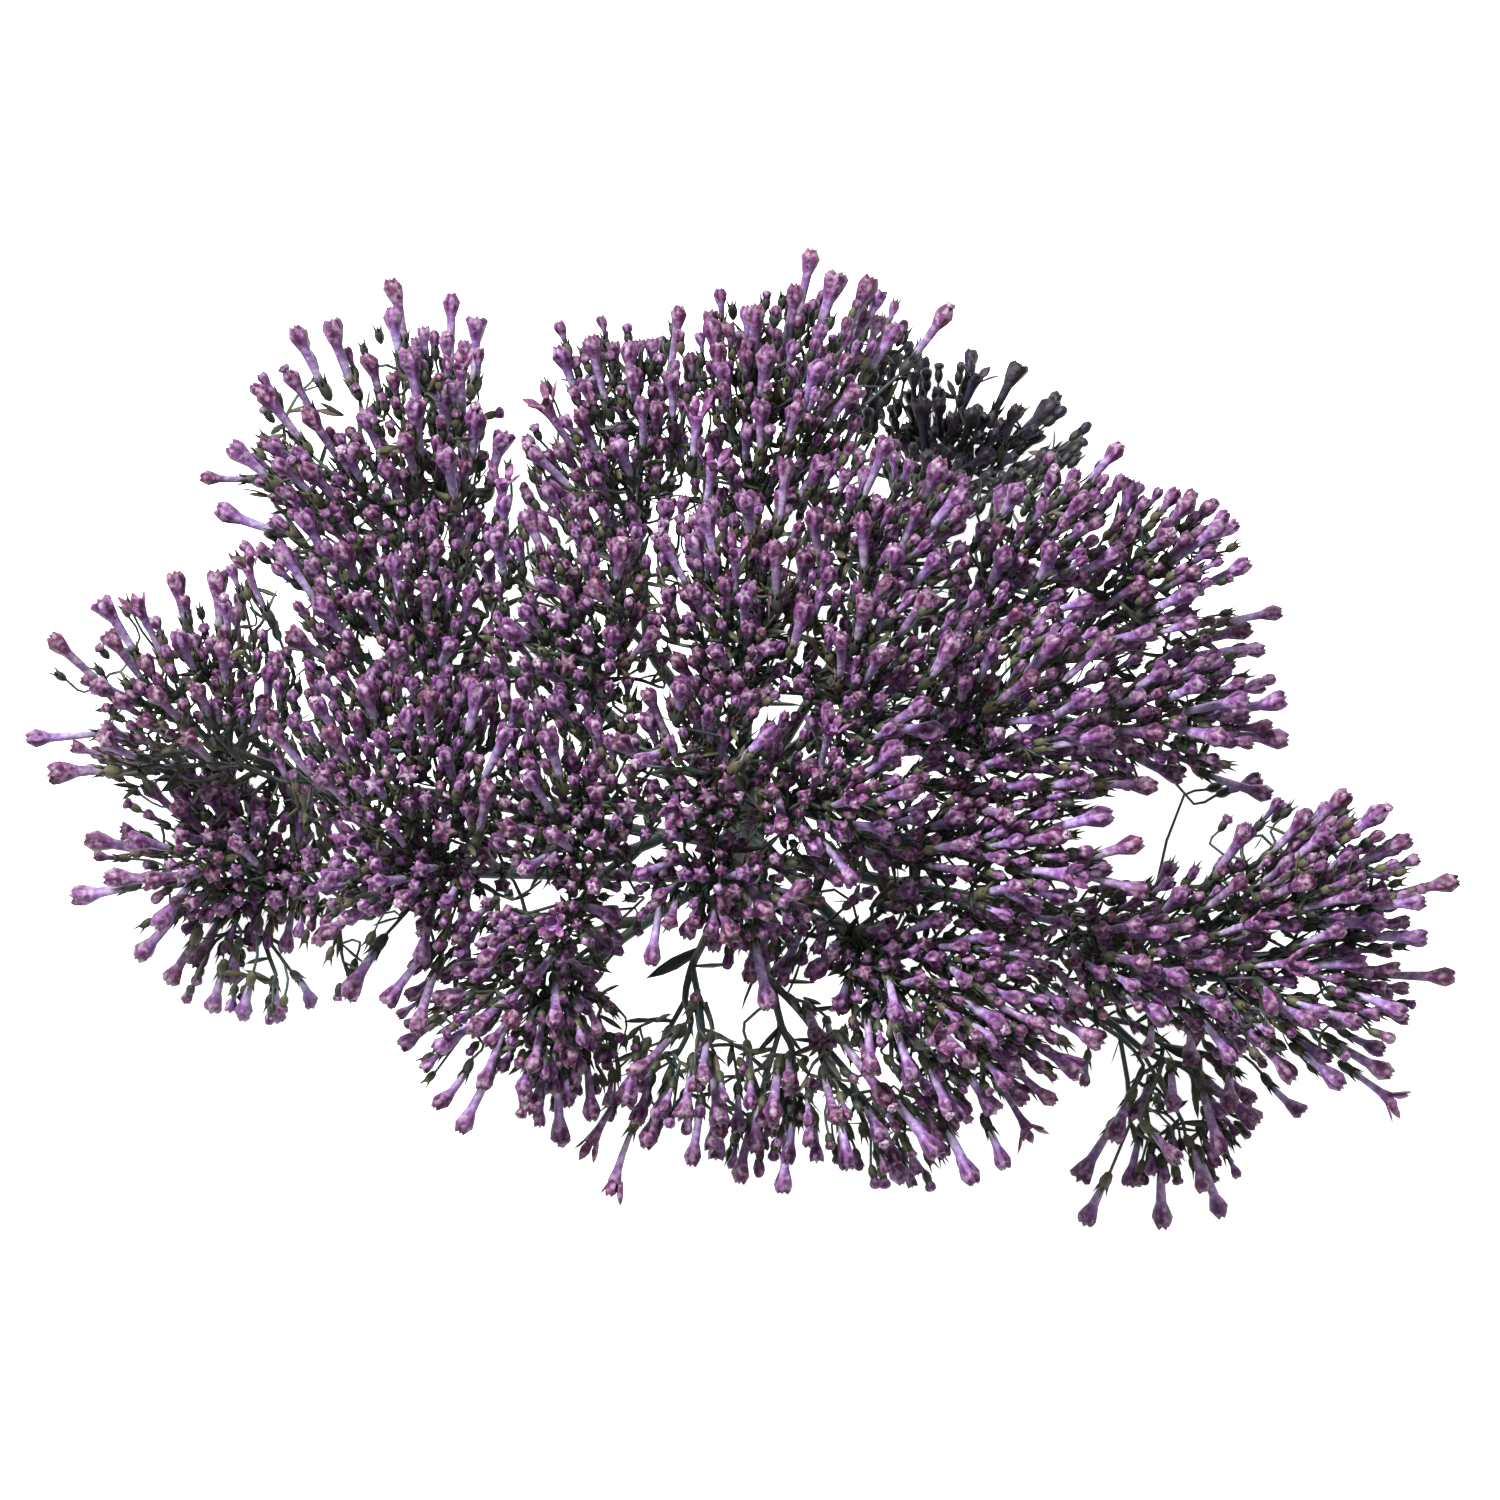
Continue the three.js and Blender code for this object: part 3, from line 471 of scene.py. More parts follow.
shifts = [np.zeros(3)]
for far in (0.9, 1.8, 2.8, 4):
    for i in range(8):
        angle = i * math.pi / 4 + far
        shifts.append(np.array([math.cos(angle), math.sin(angle), 0.5 if i % 2 else -0.5]) * far)


def shifted(point, shift):
    moved = point + shift
    moved[2] = max(moved[2], growth["leastHeight"])
    return moved


def forkBelow(tips):
    depth = between(growth["floretLength"], 0.5) + 1.2 + 2.2 * math.log2(len(tips))
    return reduce(lambda total, tip: total + tip["p"] - tip["way"] * depth, tips, np.zeros(3)) / len(tips)


def angleBetween(one, other):
    return math.acos(max(-1, min(1, float(one @ other) / (length(one) * length(other)))))


def growSpray(owner, tips, ray):
    # A limb is {points, limbs, kind}: the points that it passes, and the limbs that it then parts into.
    draw = makeDraw(sprays[owner][4])
    twig = growth["twigRadius"]

    def keep(points, tip):
        made = rodsOf(points, owner, tip)
        if not isClear(made):
            return False
        addRods(made)
        return True

    def partsWell(start, place, r):
        way = place - start["p"]
        reach = length(way)
        way = way / reach
        if reach < growth["leastLimb"] + 1.6 * start["r"] or way @ start["way"] < growth["leastForward"]:
            return False
        if not start.get("taken"):
            return True
        takenWay, takenR, takenLength = start["taken"]
        return angleBetween(way, takenWay) * min(reach, takenLength, 5) > growth["leastApart"] + r + takenR

    def growFloret(start, tip):
        size = 0.92 + 0.16 * draw()
        wanted = between(growth["floretLength"], draw())
        budding = draw() < growth["buddingShare"]
        side = draw() * math.pi * 2
        reach = between(growth["budReach"], draw())
        for shrink in (1, 0.8):
            for shift in shifts:
                end = shifted(tip["p"], shift * 0.4)
                base = shifted(end - tip["way"] * wanted * shrink, shift)
                knee = start["p"] + (base - start["p"]) * 0.55
                way = wayBetween(start["p"], base)
                if not partsWell(start, knee, twig) or way @ wayBetween(base, end) < growth["leastForward"]:
                    continue
                if length(end - base) < (growth["ovaryLength"] + growth["headLength"]) * size:
                    continue
                scale = size * (0.5 + 0.5 * shrink)
                if not keep([(start["p"], twig), (knee, twig)], False):
                    continue
                if not keep([(knee, twig)] + floretPoints(base, end, scale), True):
                    rods["count"] -= 1
                    continue
                start["taken"] = (way, twig, length(knee - start["p"]))
                floret = {"kind": "floret", "points": [base], "tip": end, "size": scale, "limbs": []}
                bud = budding and growBud({"p": knee, "way": way}, side, reach)
                limbs = [floret, bud] if bud else [floret]
                return {"kind": "limb", "points": [knee], "carried": 1, "limbs": limbs}
        return None

    def growBud(start, side, reach):
        across = np.array([math.cos(side), math.sin(side), 0.2])
        across = unit(across - start["way"] * (across @ start["way"]))
        end = start["p"] + start["way"] * reach * 0.66 + across * reach * 0.75
        end[2] = max(end[2], growth["leastHeight"])
        points = [(start["p"] + (end - start["p"]) * 0.5, twig)]
        points += [(start["p"] + (end - start["p"]) * 0.78, growth["budRadius"]), (end, 0)]
        if not keep([(start["p"], twig)] + points, True):
            return None
        return {"kind": "bud", "points": [points[0][0]], "tip": end, "size": 1, "limbs": []}

    def growLimb(start, carried):
        if len(carried) == 1:
            return growFloret(start, carried[0])
        r = stalkRadius(len(carried))
        least = growth["leastLimb"] + 1.6 * start["r"] + 0.2
        aim = forkBelow(carried)
        reach = length(aim - start["p"])
        pace = 0.5 + 0.16 * draw() if len(carried) > 2 else 0.92
        way = wayBetween(start["p"], aim)
        if way @ start["way"] < 0.5 or reach < least:
            middle = reduce(lambda total, tip: total + tip["p"], carried, np.zeros(3)) / len(carried)
            way = unit(wayBetween(start["p"], middle) + start["way"] * 0.6)
        for ease in (1, 0.7, 0.45):
            for shift in shifts:
                place = shifted(start["p"] + way * max(least, reach * pace * ease), shift)
                if not partsWell(start, place, r) or not keep([(start["p"], r), (place, r)], False):
                    continue
                onward = wayBetween(start["p"], place)
                taken = start.get("taken")
                start["taken"] = (onward, r, length(place - start["p"]))
                limbs = growFork({"p": place, "r": r, "way": onward}, carried)
                if limbs:
                    return {"kind": "limb", "points": [place], "carried": len(carried), "limbs": limbs}
                start["taken"] = taken
                rods["count"] -= 1
                return None
        return None

    def growMost(start, carried):
        # a limb that carries all of the tips, or as many of them as there is room for
        limb = growLimb(start, carried)
        if limb or len(carried) == 1:
            return limb
        more, fewer = parted(carried, 0.5)
        return growMost(start, more) or growMost(start, fewer)

    def growFork(start, carried):
        limbs = [growMost(start, half) for half in parted(carried, 0.4 + 0.2 * draw())]
        return [limb for limb in limbs if limb]

    start = {"p": ray[-1][0], "r": ray[-1][1], "way": wayBetween(ray[-2][0], ray[-1][0])}
    return growFork(start, tips)


def smoothCurve(places, steps):
    # a centripetal curve through the places, with steps points from each place to the next
    places = [np.array(p, float) for p in places]
    padded = [places[0] * 2 - places[1]] + places + [places[-1] * 2 - places[-2]]
    points = [places[0]]
    for i in range(len(places) - 1):
        p0, p1, p2, p3 = padded[i:i + 4]
        d0, d1, d2 = (max(length(q - p) ** 0.5, 1e-4) for p, q in ((p0, p1), (p1, p2), (p2, p3)))
        t1 = ((p1 - p0) / d0 - (p2 - p0) / (d0 + d1) + (p2 - p1) / d1) * d1
        t2 = ((p2 - p1) / d1 - (p3 - p1) / (d1 + d2) + (p3 - p2) / d2) * d1
        for t in np.linspace(0, 1, steps + 1)[1:]:
            points.append(
                p1 + t1 * t + (3 * (p2 - p1) - 2 * t1 - t2) * t * t + (2 * (p1 - p2) + t1 + t2) * t ** 3
            )
    return np.array(points)


stemFine = smoothCurve(stemPath, 80)
stemAlong = np.concatenate([[0], np.cumsum(np.sqrt(((stemFine[1:] - stemFine[:-1]) ** 2).sum(-1)))])
stemAlong /= stemAlong[-1]


def stemAt(share):
    return np.array([np.interp(share, stemAlong, stemFine[:, k]) for k in range(3)])


def rayOf(root, fork, carried):
    centre = stemAt(root)
    along = unit(stemAt(min(1, root + 0.002)) - stemAt(min(1, root + 0.002) - 0.004))
    end = np.array(fork, float)
    radius = stalkRadius(carried)
    out = end - centre
    out = along if root == 1 else unit(out - along * (out @ along))
    off = radius * 0.6 if root == 1 else between(growth["stemRadius"], root)
    foot = centre + out * (off + growth["rootGap"])
    first = foot + out * 1.2
    sag = first + (end - first) * 0.5 - np.array([0, 0, 0.07 * length(end - first)])
    path = smoothCurve([foot, first, sag, end], 2)
    return [(p, radius * (1.15 - 0.15 * i / 6)) for i, p in enumerate(path)]


allTips = placeTips()
stemPoints = [(stemAt(i / 7), between(growth["stemRadius"], i / 7)) for i in range(8)]
addRods(rodsOf(stemPoints, -1))
rays = [rayOf(spray[1], spray[2], len(tips)) for spray, tips in zip(sprays, allTips)]
for owner, ray in enumerate(rays):
    addRods(rodsOf(ray, owner))
bractSize = {"length": 6.5, "width": 0.95, "shownWidth": 0.75}


def bractOf(owner):
    # where the blade below a spray's first fork starts, and the way that it points
    draw = makeDraw(owner + 301)
    foot = rays[owner][-2][0]
    reach, width = bractSize["length"], bractSize["width"]
    for turn in range(12):
        angle = (draw() + turn / 12) * math.pi * 2
        way = unit(np.array([math.cos(angle), math.sin(angle), 0.55]))
        middle = foot + way * 0.45 * reach + np.array([0, 0, 0.5])
        made = rodsOf([(foot, width * 0.55), (middle, width), (foot + way * reach, 0)], owner)[1:]
        if isClear(made):
            addRods(made)
            return foot, way
    return None


trees = []
bracts = []
for owner in range(len(sprays)):
    bracts.append(bractOf(owner))
    trees.append(growSpray(owner, allTips[owner], rays[owner]))
print("grown:", sum(len(tips) for tips in allTips), "tips,", rods["count"], "rods")


# The shapes that repeat, each modelled once in mm
toothLook = {"radius": 0.2, "length": 1.45, "out": 0.56, "height": 2.35, "lean": 0.3}


def beginShape(name, sides, radius):
    bpy.ops.object.select_all(action="DESELECT")
    bpy.ops.mesh.primitive_circle_add(vertices=sides, radius=radius, fill_type="NGON", location=(0, 0, 0))
    shape = bpy.context.object
    shape.name = name
    bpy.ops.object.mode_set(mode="EDIT")
    bpy.ops.mesh.select_mode(type="VERT")
    bpy.ops.mesh.select_all(action="SELECT")
    return shape


def raiseRings(rings, radius):
    # rings are (radius, height); a last radius of 0 closes the shape in a point
    height = 0
    for nextRadius, nextHeight in rings:
        bpy.ops.mesh.extrude_region_move(TRANSFORM_OT_translate={"value": (0, 0, nextHeight - height)})
        if nextRadius == 0:
            bpy.ops.mesh.merge(type="CENTER")
            return
        grow = nextRadius / radius
        bpy.ops.transform.resize(value=(grow, grow, 1), center_override=(0, 0, nextHeight))
        radius, height = nextRadius, nextHeight


def pickVertices(shape, test):
    shaped = bmesh.from_edit_mesh(shape.data)
    shaped.verts.ensure_lookup_table()
    for vertex in shaped.verts:
        vertex.select_set(bool(test(vertex.co)))
    shaped.select_flush_mode()
    bmesh.update_edit_mesh(shape.data)


def isFurrow(place, sides):
    turn = math.atan2(place.x, place.y) / (2 * math.pi / sides)
    return place.xy.length > 0.02 and round(turn) % 2 == 1


def cutFurrows(shape, sides, furrows):
    # draws every second corner of the rings at the given heights inwards, and down
    for height, share, drop in furrows:
        pickVertices(shape, lambda place: abs(place.z - height) < 0.02 and isFurrow(place, sides))
        bpy.ops.transform.resize(value=(share, share, 1), center_override=(0, 0, height))
        bpy.ops.transform.translate(value=(0, 0, -drop))


def addTeeth(count, sides):
    for i in range(count):
        turn = i * 2 * math.pi / count
        x, y = toothLook["out"] * math.cos(turn), toothLook["out"] * math.sin(turn)
        bpy.ops.mesh.primitive_cone_add(
            vertices=sides, radius1=toothLook["radius"], radius2=0, depth=toothLook["length"],
            location=(x, y, toothLook["height"]), rotation=(0, toothLook["lean"], turn),
        )


def endShape(shape, look):
    bpy.ops.mesh.select_all(action="SELECT")
    bpy.ops.mesh.normals_make_consistent(inside=False)
    bpy.ops.object.mode_set(mode="OBJECT")
    bpy.ops.object.shade_smooth()
    shape.hide_render = True
    # red is how far along the shape a place lies, green how deep in a furrow, which the finishes darken with
    # painted shade
    marks = shape.data.attributes.new("look", "FLOAT_COLOR", "POINT")
    low, high = look["span"]
    for i, vertex in enumerate(shape.data.vertices):
        along = min(1, max(0, (vertex.co.z - low) / (high - low)))
        # the tip, where the furrows meet, is marked as deep too, so that painted shade darkens it
        isTip = vertex.co.xy.length < 0.3 and vertex.co.z > 0.9 * high
        deep = look["deepest"] if isTip or isFurrow(vertex.co, look["sides"]) else 0
        marks.data[i].color = (along, deep * min(1, max(0, along * 2.5 - 0.9)), 0, 1)
    return shape


def modelShape(name, look):
    # look has rings of (radius, height) and furrows of (height, share, drop)
    shape = beginShape(name, look["sides"], look["foot"])
    raiseRings(look["rings"], look["foot"])
    cutFurrows(shape, look["sides"], look.get("furrows", ()))
    addTeeth(*look.get("teeth", (0, 0)))
    if "thin" in look:
        bpy.ops.mesh.select_all(action="SELECT")
        bpy.ops.transform.resize(value=(1, look["thin"], 1), center_override=(0, 0, 0))
    return endShape(shape, look)


# A closed floret: a thin tube that swells into a club with five furrows.
clubLook = {
    "sides": 10,
    "foot": 0.34,
    "neck": 3.3,       # where the tube ends and the club begins
    "lip": 5.58,       # above this the lobes part a little
    "rings": [(0.4, 0.9), (0.54, 3.3), (0.86, 4.2), (1.07, 5.0), (0.99, 5.6), (0.66, 6.04), (0, 5.72)],
    "furrows": [(3.3, 0.88, 0), (4.2, 0.76, 0), (5.0, 0.7, 0), (5.6, 0.62, 0.04), (6.04, 0.48, 0.26)],
    "span": (0, 6.1),
    "deepest": 1,
}
club = modelShape("club", clubLook)

# The same, younger and with fewer faces.
youngClubLook = {
    **clubLook,
    "rings": [(0.5, 3.3), (0.9, 4.25), (1.04, 5.1), (0.78, 5.86), (0, 5.62)],
    "furrows": [(3.3, 0.86, 0), (4.25, 0.76, 0), (5.1, 0.7, 0), (5.86, 0.48, 0.26)],
}
youngClub = modelShape("youngClub", youngClubLook)

# An open floret's tube, with a hollow throat.
throatLook = {
    "sides": 10,
    "foot": 0.3,
    "rings": [
        (0.33, 0.7), (0.38, 2.0), (0.48, 3.4), (0.7, 4.3), (0.86, 4.9), (0.7, 4.92), (0.42, 4.0), (0.2, 3.6),
    ],
    "furrows": [(2.0, 0.94, 0), (3.4, 0.9, 0), (4.3, 0.92, 0)],
    "span": (0, 6.1),
    "deepest": 0.6,
}
throat = modelShape("throat", throatLook)

# One of its five lobes, and every leaf blade: a flat blade along +Z.
bladeLook = {
    "sides": 6, "foot": 0.42, "rings": [(0.8, 0.25), (1.0, 0.5), (0.72, 0.75), (0, 1)], "thin": 0.24,
    "span": (0, 1), "deepest": 0,
}
blade = modelShape("blade", bladeLook)

# The dark ovary, with the narrow teeth of its calyx, and a plainer one for young florets and buds.
ovaryLook = {
    "sides": 10,
    "foot": 0.16,
    "rings": [(0.42, 0.3), (0.6, 0.85), (0.58, 1.4), (0.4, 1.95), (0.2, 2.1), (0, 2.12)],
    "furrows": [(0.85, 0.85, 0), (1.4, 0.84, 0), (1.95, 0.85, 0)],
    "teeth": (5, 4),   # how many, and their sides
    "span": (0, 3),
    "deepest": 0.7,
}
youngOvaryLook = {
    "sides": 6, "foot": 0.16, "rings": [(0.5, 0.5), (0.6, 1.1), (0.44, 1.8), (0, 2.05)], "teeth": (3, 3),
    "span": (0, 3), "deepest": 0.7,
}
ovary = modelShape("ovary", ovaryLook)
youngOvary = modelShape("youngOvary", youngOvaryLook)

# A young round bud.
knobLook = {
    "sides": 10,
    "foot": 0.3,
    "rings": [(0.46, 0.25), (0.58, 0.65), (0.52, 1.0), (0.3, 1.25), (0, 1.32)],
    "furrows": [(0.65, 0.88, 0), (1.0, 0.82, 0), (1.25, 0.6, 0)],
    "length": 1.32,
    "span": (-2, 1.32),
    "deepest": 1,
}
knob = modelShape("knob", knobLook)

# The knobbly stigma at the end of a style.
bpy.ops.object.select_all(action="DESELECT")
bpy.ops.mesh.primitive_ico_sphere_add(subdivisions=2, radius=0.5)
stigma = bpy.context.object
stigma.name = "stigma"
bpy.ops.object.mode_set(mode="EDIT")
bpy.ops.mesh.select_all(action="SELECT")
bpy.ops.transform.vertex_random(offset=0.16, uniform=0.3, normal=1, seed=4)
endShape(stigma, {"sides": 10, "span": (-0.5, 0.5), "deepest": 0})
print("floret shapes modelled")


# Finishes

def startPaint(name):
    finish = bpy.data.materials.new(name)
    finish.use_nodes = True
    return finish, finish.node_tree


def setSocket(tree, socket, value):
    # the value is another socket or a fixed one
    if isinstance(value, bpy.types.NodeSocket):
        tree.links.new(value, socket)
    else:
        socket.default_value = value


def addRamp(tree, share, stops):
    ramp = tree.nodes.new("ShaderNodeValToRGB")
    colours = ramp.color_ramp.elements
    while len(colours) > 1:
        colours.remove(colours[0])
    colours[0].position = stops[0][0]
    colours[0].color = paint(*stops[0][1])
    for place, colour in stops[1:]:
        colours.new(place).color = paint(*colour)
    tree.links.new(share, ramp.inputs[0])
    return ramp.outputs[0]


def addMix(tree, kind, share, one, other):
    mix = tree.nodes.new("ShaderNodeMix")
    mix.data_type = "RGBA"
    mix.blend_type = kind
    for socket, value in zip((mix.inputs[0], mix.inputs[6], mix.inputs[7]), (share, one, other)):
        setSocket(tree, socket, value)
    return mix.outputs[2]


def addMath(tree, kind, *values):
    result = tree.nodes.new("ShaderNodeMath")
    result.operation = kind
    for socket, value in zip(result.inputs, values):
        setSocket(tree, socket, value)
    return result.outputs[0]


def addNoise(tree, scale, detail=3):
    noise = tree.nodes.new("ShaderNodeTexNoise")
    noise.inputs["Scale"].default_value = scale
    noise.inputs["Detail"].default_value = detail
    tree.links.new(tree.nodes.new("ShaderNodeTexCoord").outputs["Object"], noise.inputs["Vector"])
    return noise.outputs["Fac"]


def readLook(tree):
    # how far along a place is, how deep in a furrow, where shade is painted, how old, and how much light it
    # keeps, the rest being painted shade
    look = tree.nodes.new("ShaderNodeAttribute")
    look.attribute_name = "look"
    split = tree.nodes.new("ShaderNodeSeparateColor")
    tree.links.new(look.outputs["Color"], split.inputs[0])
    along, deep, tint = split.outputs
    return along, deep, tint, look.outputs["Alpha"]


# painted shade: the colour is darkened towards a dark grey as far as light is not kept
def paintShade(tree, colour, unshaded):
    return addMix(tree, "MULTIPLY", addMath(tree, "SUBTRACT", 1, unshaded), colour, paint(84, 96, 98))


def endPaint(tree, colour, look):
    shader = tree.nodes["Principled BSDF"]
    tree.links.new(colour, shader.inputs["Base Color"])
    shader.inputs["Roughness"].default_value = look["roughness"]
    shader.inputs["Specular IOR Level"].default_value = look["specular"]
    if "bump" in look:
        scale, strength, distance = look["bump"]
        bump = tree.nodes.new("ShaderNodeBump")
        bump.inputs["Strength"].default_value = strength
        bump.inputs["Distance"].default_value = distance
        tree.links.new(addNoise(tree, scale, 2), bump.inputs["Height"])
        tree.links.new(bump.outputs["Normal"], shader.inputs["Normal"])


corollaLook = {
    "young": [
        (0, (132, 126, 147)), (0.35, (125, 107, 148)), (0.55, (110, 80, 135)), (0.72, (101, 57, 113)),
        (1, (96, 50, 102)),
    ],
    "old": [
        (0, (96, 85, 101)), (0.35, (88, 64, 97)), (0.55, (82, 46, 85)), (0.72, (82, 32, 71)),
        (1, (78, 26, 59)),
    ],
    # furrow is the colour of the painted shade in the furrows and at the tips of the heads
    "furrow": (26, 6, 20),
    "furrowShadeShare": 0.85,
    "streaks": 1400,
    "streakShare": 0.85,
    "dry": (152, 140, 149),
    "dryShare": 0.5,
    "roughness": 0.58,
    "specular": 0.26,
    "bump": (2200, 0.7, 0.00014),    # grain per metre, strength, and depth in m
}
corollaPaint, tree = startPaint("corollaPaint")
along, deep, tint, unshaded = readLook(tree)
young = addRamp(tree, along, corollaLook["young"])
old = addRamp(tree, along, corollaLook["old"])
colour = addMix(tree, "MIX", tint, young, old)
# painted shade: the furrows and tips are darkened as deep as they are marked
creaseShade = addRamp(tree, deep, [(0.3, (0, 0, 0)), (0.85, (255, 255, 255))])
creaseShadeShare = addMath(tree, "MULTIPLY", creaseShade, corollaLook["furrowShadeShare"])
colour = addMix(tree, "MIX", creaseShadeShare, colour, paint(*corollaLook["furrow"]))
streaks = addNoise(tree, corollaLook["streaks"])
colour = addMix(tree, "OVERLAY", corollaLook["streakShare"], colour, streaks)
dry = addRamp(tree, streaks, [(0.48, (0, 0, 0)), (0.72, (255, 255, 255))])
dryShare = addMath(tree, "MULTIPLY", dry, corollaLook["dryShare"])
colour = addMix(tree, "MIX", dryShare, colour, paint(*corollaLook["dry"]))
endPaint(tree, paintShade(tree, colour, unshaded), corollaLook)

greenLook = {
    "stops": [(0.3, (27, 30, 24)), (0.5, (27, 30, 24)), (0.62, (60, 61, 42)), (0.8, (62, 50, 44))],
    "roughness": 0.62,
    "specular": 0.3,
    "bump": (2400, 0.5, 0.0001),
}
greenPaint, tree = startPaint("greenPaint")
along, deep, tint, unshaded = readLook(tree)
patches = addMath(tree, "MULTIPLY", addNoise(tree, 160, 2), 0.6)
colour = addRamp(tree, addMath(tree, "MULTIPLY_ADD", tint, 0.45, patches), greenLook["stops"])
# painted shade: the ovaries' furrows are darkened as deep as they are marked
colour = addMix(tree, "MULTIPLY", addMath(tree, "MULTIPLY", deep, 0.6), colour, paint(90, 90, 90))
colour = addMix(tree, "OVERLAY", 0.4, colour, addNoise(tree, 1700))
endPaint(tree, paintShade(tree, colour, unshaded), greenLook)

stalkLook = {
    "stops": [(0.3, (26, 36, 36)), (0.5, (38, 50, 49)), (0.62, (52, 54, 46)), (0.75, (62, 52, 54))],
    "roughness": 0.6,
    "specular": 0.3,
    "bump": (2000, 0.5, 0.0001),
}
stalkPaint, tree = startPaint("stalkPaint")
colour = addRamp(tree, addNoise(tree, 110, 2), stalkLook["stops"])
endPaint(tree, addMix(tree, "OVERLAY", 0.4, colour, addNoise(tree, 1500)), stalkLook)

stigmaLook = {"stops": [(0.4, (58, 34, 52)), (0.62, (142, 116, 138))], "roughness": 0.8, "specular": 0.5}
stigmaPaint, tree = startPaint("stigmaPaint")
endPaint(tree, addRamp(tree, addNoise(tree, 3400), stigmaLook["stops"]), stigmaLook)

for shape, finish in (
    (club, corollaPaint), (youngClub, corollaPaint), (throat, corollaPaint), (knob, corollaPaint),
    (blade, greenPaint), (ovary, greenPaint), (youngOvary, greenPaint), (stigma, stigmaPaint),
):
    shape.data.materials.append(finish)
lobe = blade.copy()
lobe.data = blade.data.copy()
lobe.name = "lobe"
lobe.data.materials.clear()
lobe.data.materials.append(corollaPaint)
bpy.context.scene.collection.objects.link(lobe)
for corner in lobe.data.attributes["look"].data:
    corner.color[0] = 0.6 + 0.4 * corner.color[0]
print("finishes ready")


# True sizes, and what else grows between the florets
fine = {
    "twigRadius": 0.165,
    "twigGrowth": 0.27,
    "thinRadius": 0.3,       # thinner stalks get fewer faces
    "spacing": 1.98,         # between the tips of all that is added
    "jitter": 1.4,
    "within": (1.12, 1.45, 1.75),
    "lower": (0.6, -5.5),    # how much lower it ends than the florets beside it
    "lowSpacing": 2.75,      # the same for what grows deep between the florets
    "lowest": (-5, -10),
    "floretApart": 3.0,      # a full floret is added where there is none this near
    "floretLength": (6.0, 8.6),
    "youngLength": (3.8, 6.2),
    "budLength": (2.0, 3.4),
    "floretSize": (0.84, 1.06),
    "youngSize": (0.58, 0.9),
    "budSize": (0.75, 1.15),
    "budDepth": 0.62,        # buds alone grow deeper than this share
    "attempts": 7,
    "youngShare": 0.58,
    "openShare": 0.045,
    "styleShare": 0.09,
    "bareShare": 0.22,       # how many buds are bare calyxes
    "thinShare": 0.2,        # how much is added in the thin places
    "farthest": 18,          # the most that a stalk may cost
    "longStalk": 1.6,        # a stalk this long bends on its way
    "bend": (2.4, 0.45),     # how far below the foot it does, at most and as a share
    "stalkStep": 2.0,
    "limbStep": 2.4,
    "room": -0.2,            # how far the heads may press into each other
    "lowestTip": 1.3,
}
# Open places in the head, where the surface shows through: middle and reach.
openPlaces = [
    ((-8.5, -24.2), (4.5, 3.6)), ((1.5, -27), (6, 2.2)), ((-20.6, -15.6), (2, 2.8)),
    ((-36.2, -19.6), (4, 1.8)), ((8.8, 6.4), (1.2, 1.4)), ((40, -9.5), (4, 4.5)), ((-24.5, 35), (3, 6.5)),
    ((-47.5, 15), (3, 2.2)), ((-8.8, 6.6), (2, 2)), ((-68, 4.5), (3, 3)), ((-44.5, 34), (3.5, 2.6)),
]
# Places where little grows between the florets.
thinPlaces = [
    ((-66, 12.2), (8, 5)), ((-43, 38), (8, 6.5)), ((-63, -11), (6, 9)), ((41, -36), (8, 9)),
    ((27, 37.5), (5, 3)), ((-66, -20), (8, 5)), ((62, -36), (6, 3)), ((-21, 38), (4, 7)),
    ((12, -37), (5, 4.5)), ((-4.5, -32.5), (5, 6)), ((-26, -36), (4, 4)), ((47, -8.6), (10, 3)),
    ((50, 16), (4, 4)), ((60, -33), (5, 4)), ((-57, 15), (6, 4)), ((-43, -25), (8, 4)),
    ((-30, -33), (5, 5)), ((55, -36), (6, 3)),
]
# Places outside the patches where something grows all the same.
fullPlaces = [
    ((3.5, -20.8), (7.5, 3.8)), ((14, 41), (5, 5)), ((-47, -24), (12, 5)), ((-30, -30), (5, 8)),
    ((55, -36), (6, 3)), ((49.5, 9.5), (3, 3)), ((2, -41), (6, 3)), ((16, -42), (7, 3)),
]

# Everything that carries anything, as places with the place that each grows from.
joints = {"p": [], "parent": [], "owner": [], "open": [], "straight": []}


def addJoint(place, parent, owner, isOpen, isStraight=False):
    joints["p"].append(np.array(place, float))
    joints["parent"].append(parent)
    joints["owner"].append(owner)
    joints["open"].append(isOpen)
    joints["straight"].append(isStraight)
    return len(joints["p"]) - 1


def addLine(place, parent, owner, isOpen, step):
    # joints from the parent to the place, a step apart
    start = joints["p"][parent]
    count = max(1, round(length(place - start) / step))
    for i in range(1, count + 1):
        parent = addJoint(start + (place - start) * i / count, parent, owner, isOpen, i < count)
    return parent


heads = []       # every floret and bud: spray, kind, foot, tip, size, joint
feet = []


def addTree(limb, parent, owner):
    for place in limb["points"]:
        parent = addLine(place, parent, owner, limb.get("carried", 1) < 16, fine["limbStep"])
    if "tip" in limb:
        heads.append({
            "owner": owner, "kind": limb["kind"], "foot": limb["points"][-1], "tip": limb["tip"],
            "size": limb["size"], "joint": parent,
        })
        joints["open"][parent] = False
    for other in limb["limbs"]:
        addTree(other, parent, owner)


for owner, limbs in enumerate(trees):
    parent = addJoint(rays[owner][0][0], -1, owner, False)
    feet.append(parent)
    for place, r in rays[owner][1:]:
        parent = addJoint(place, parent, owner, False)
    for limb in limbs:
        addTree(limb, parent, owner)


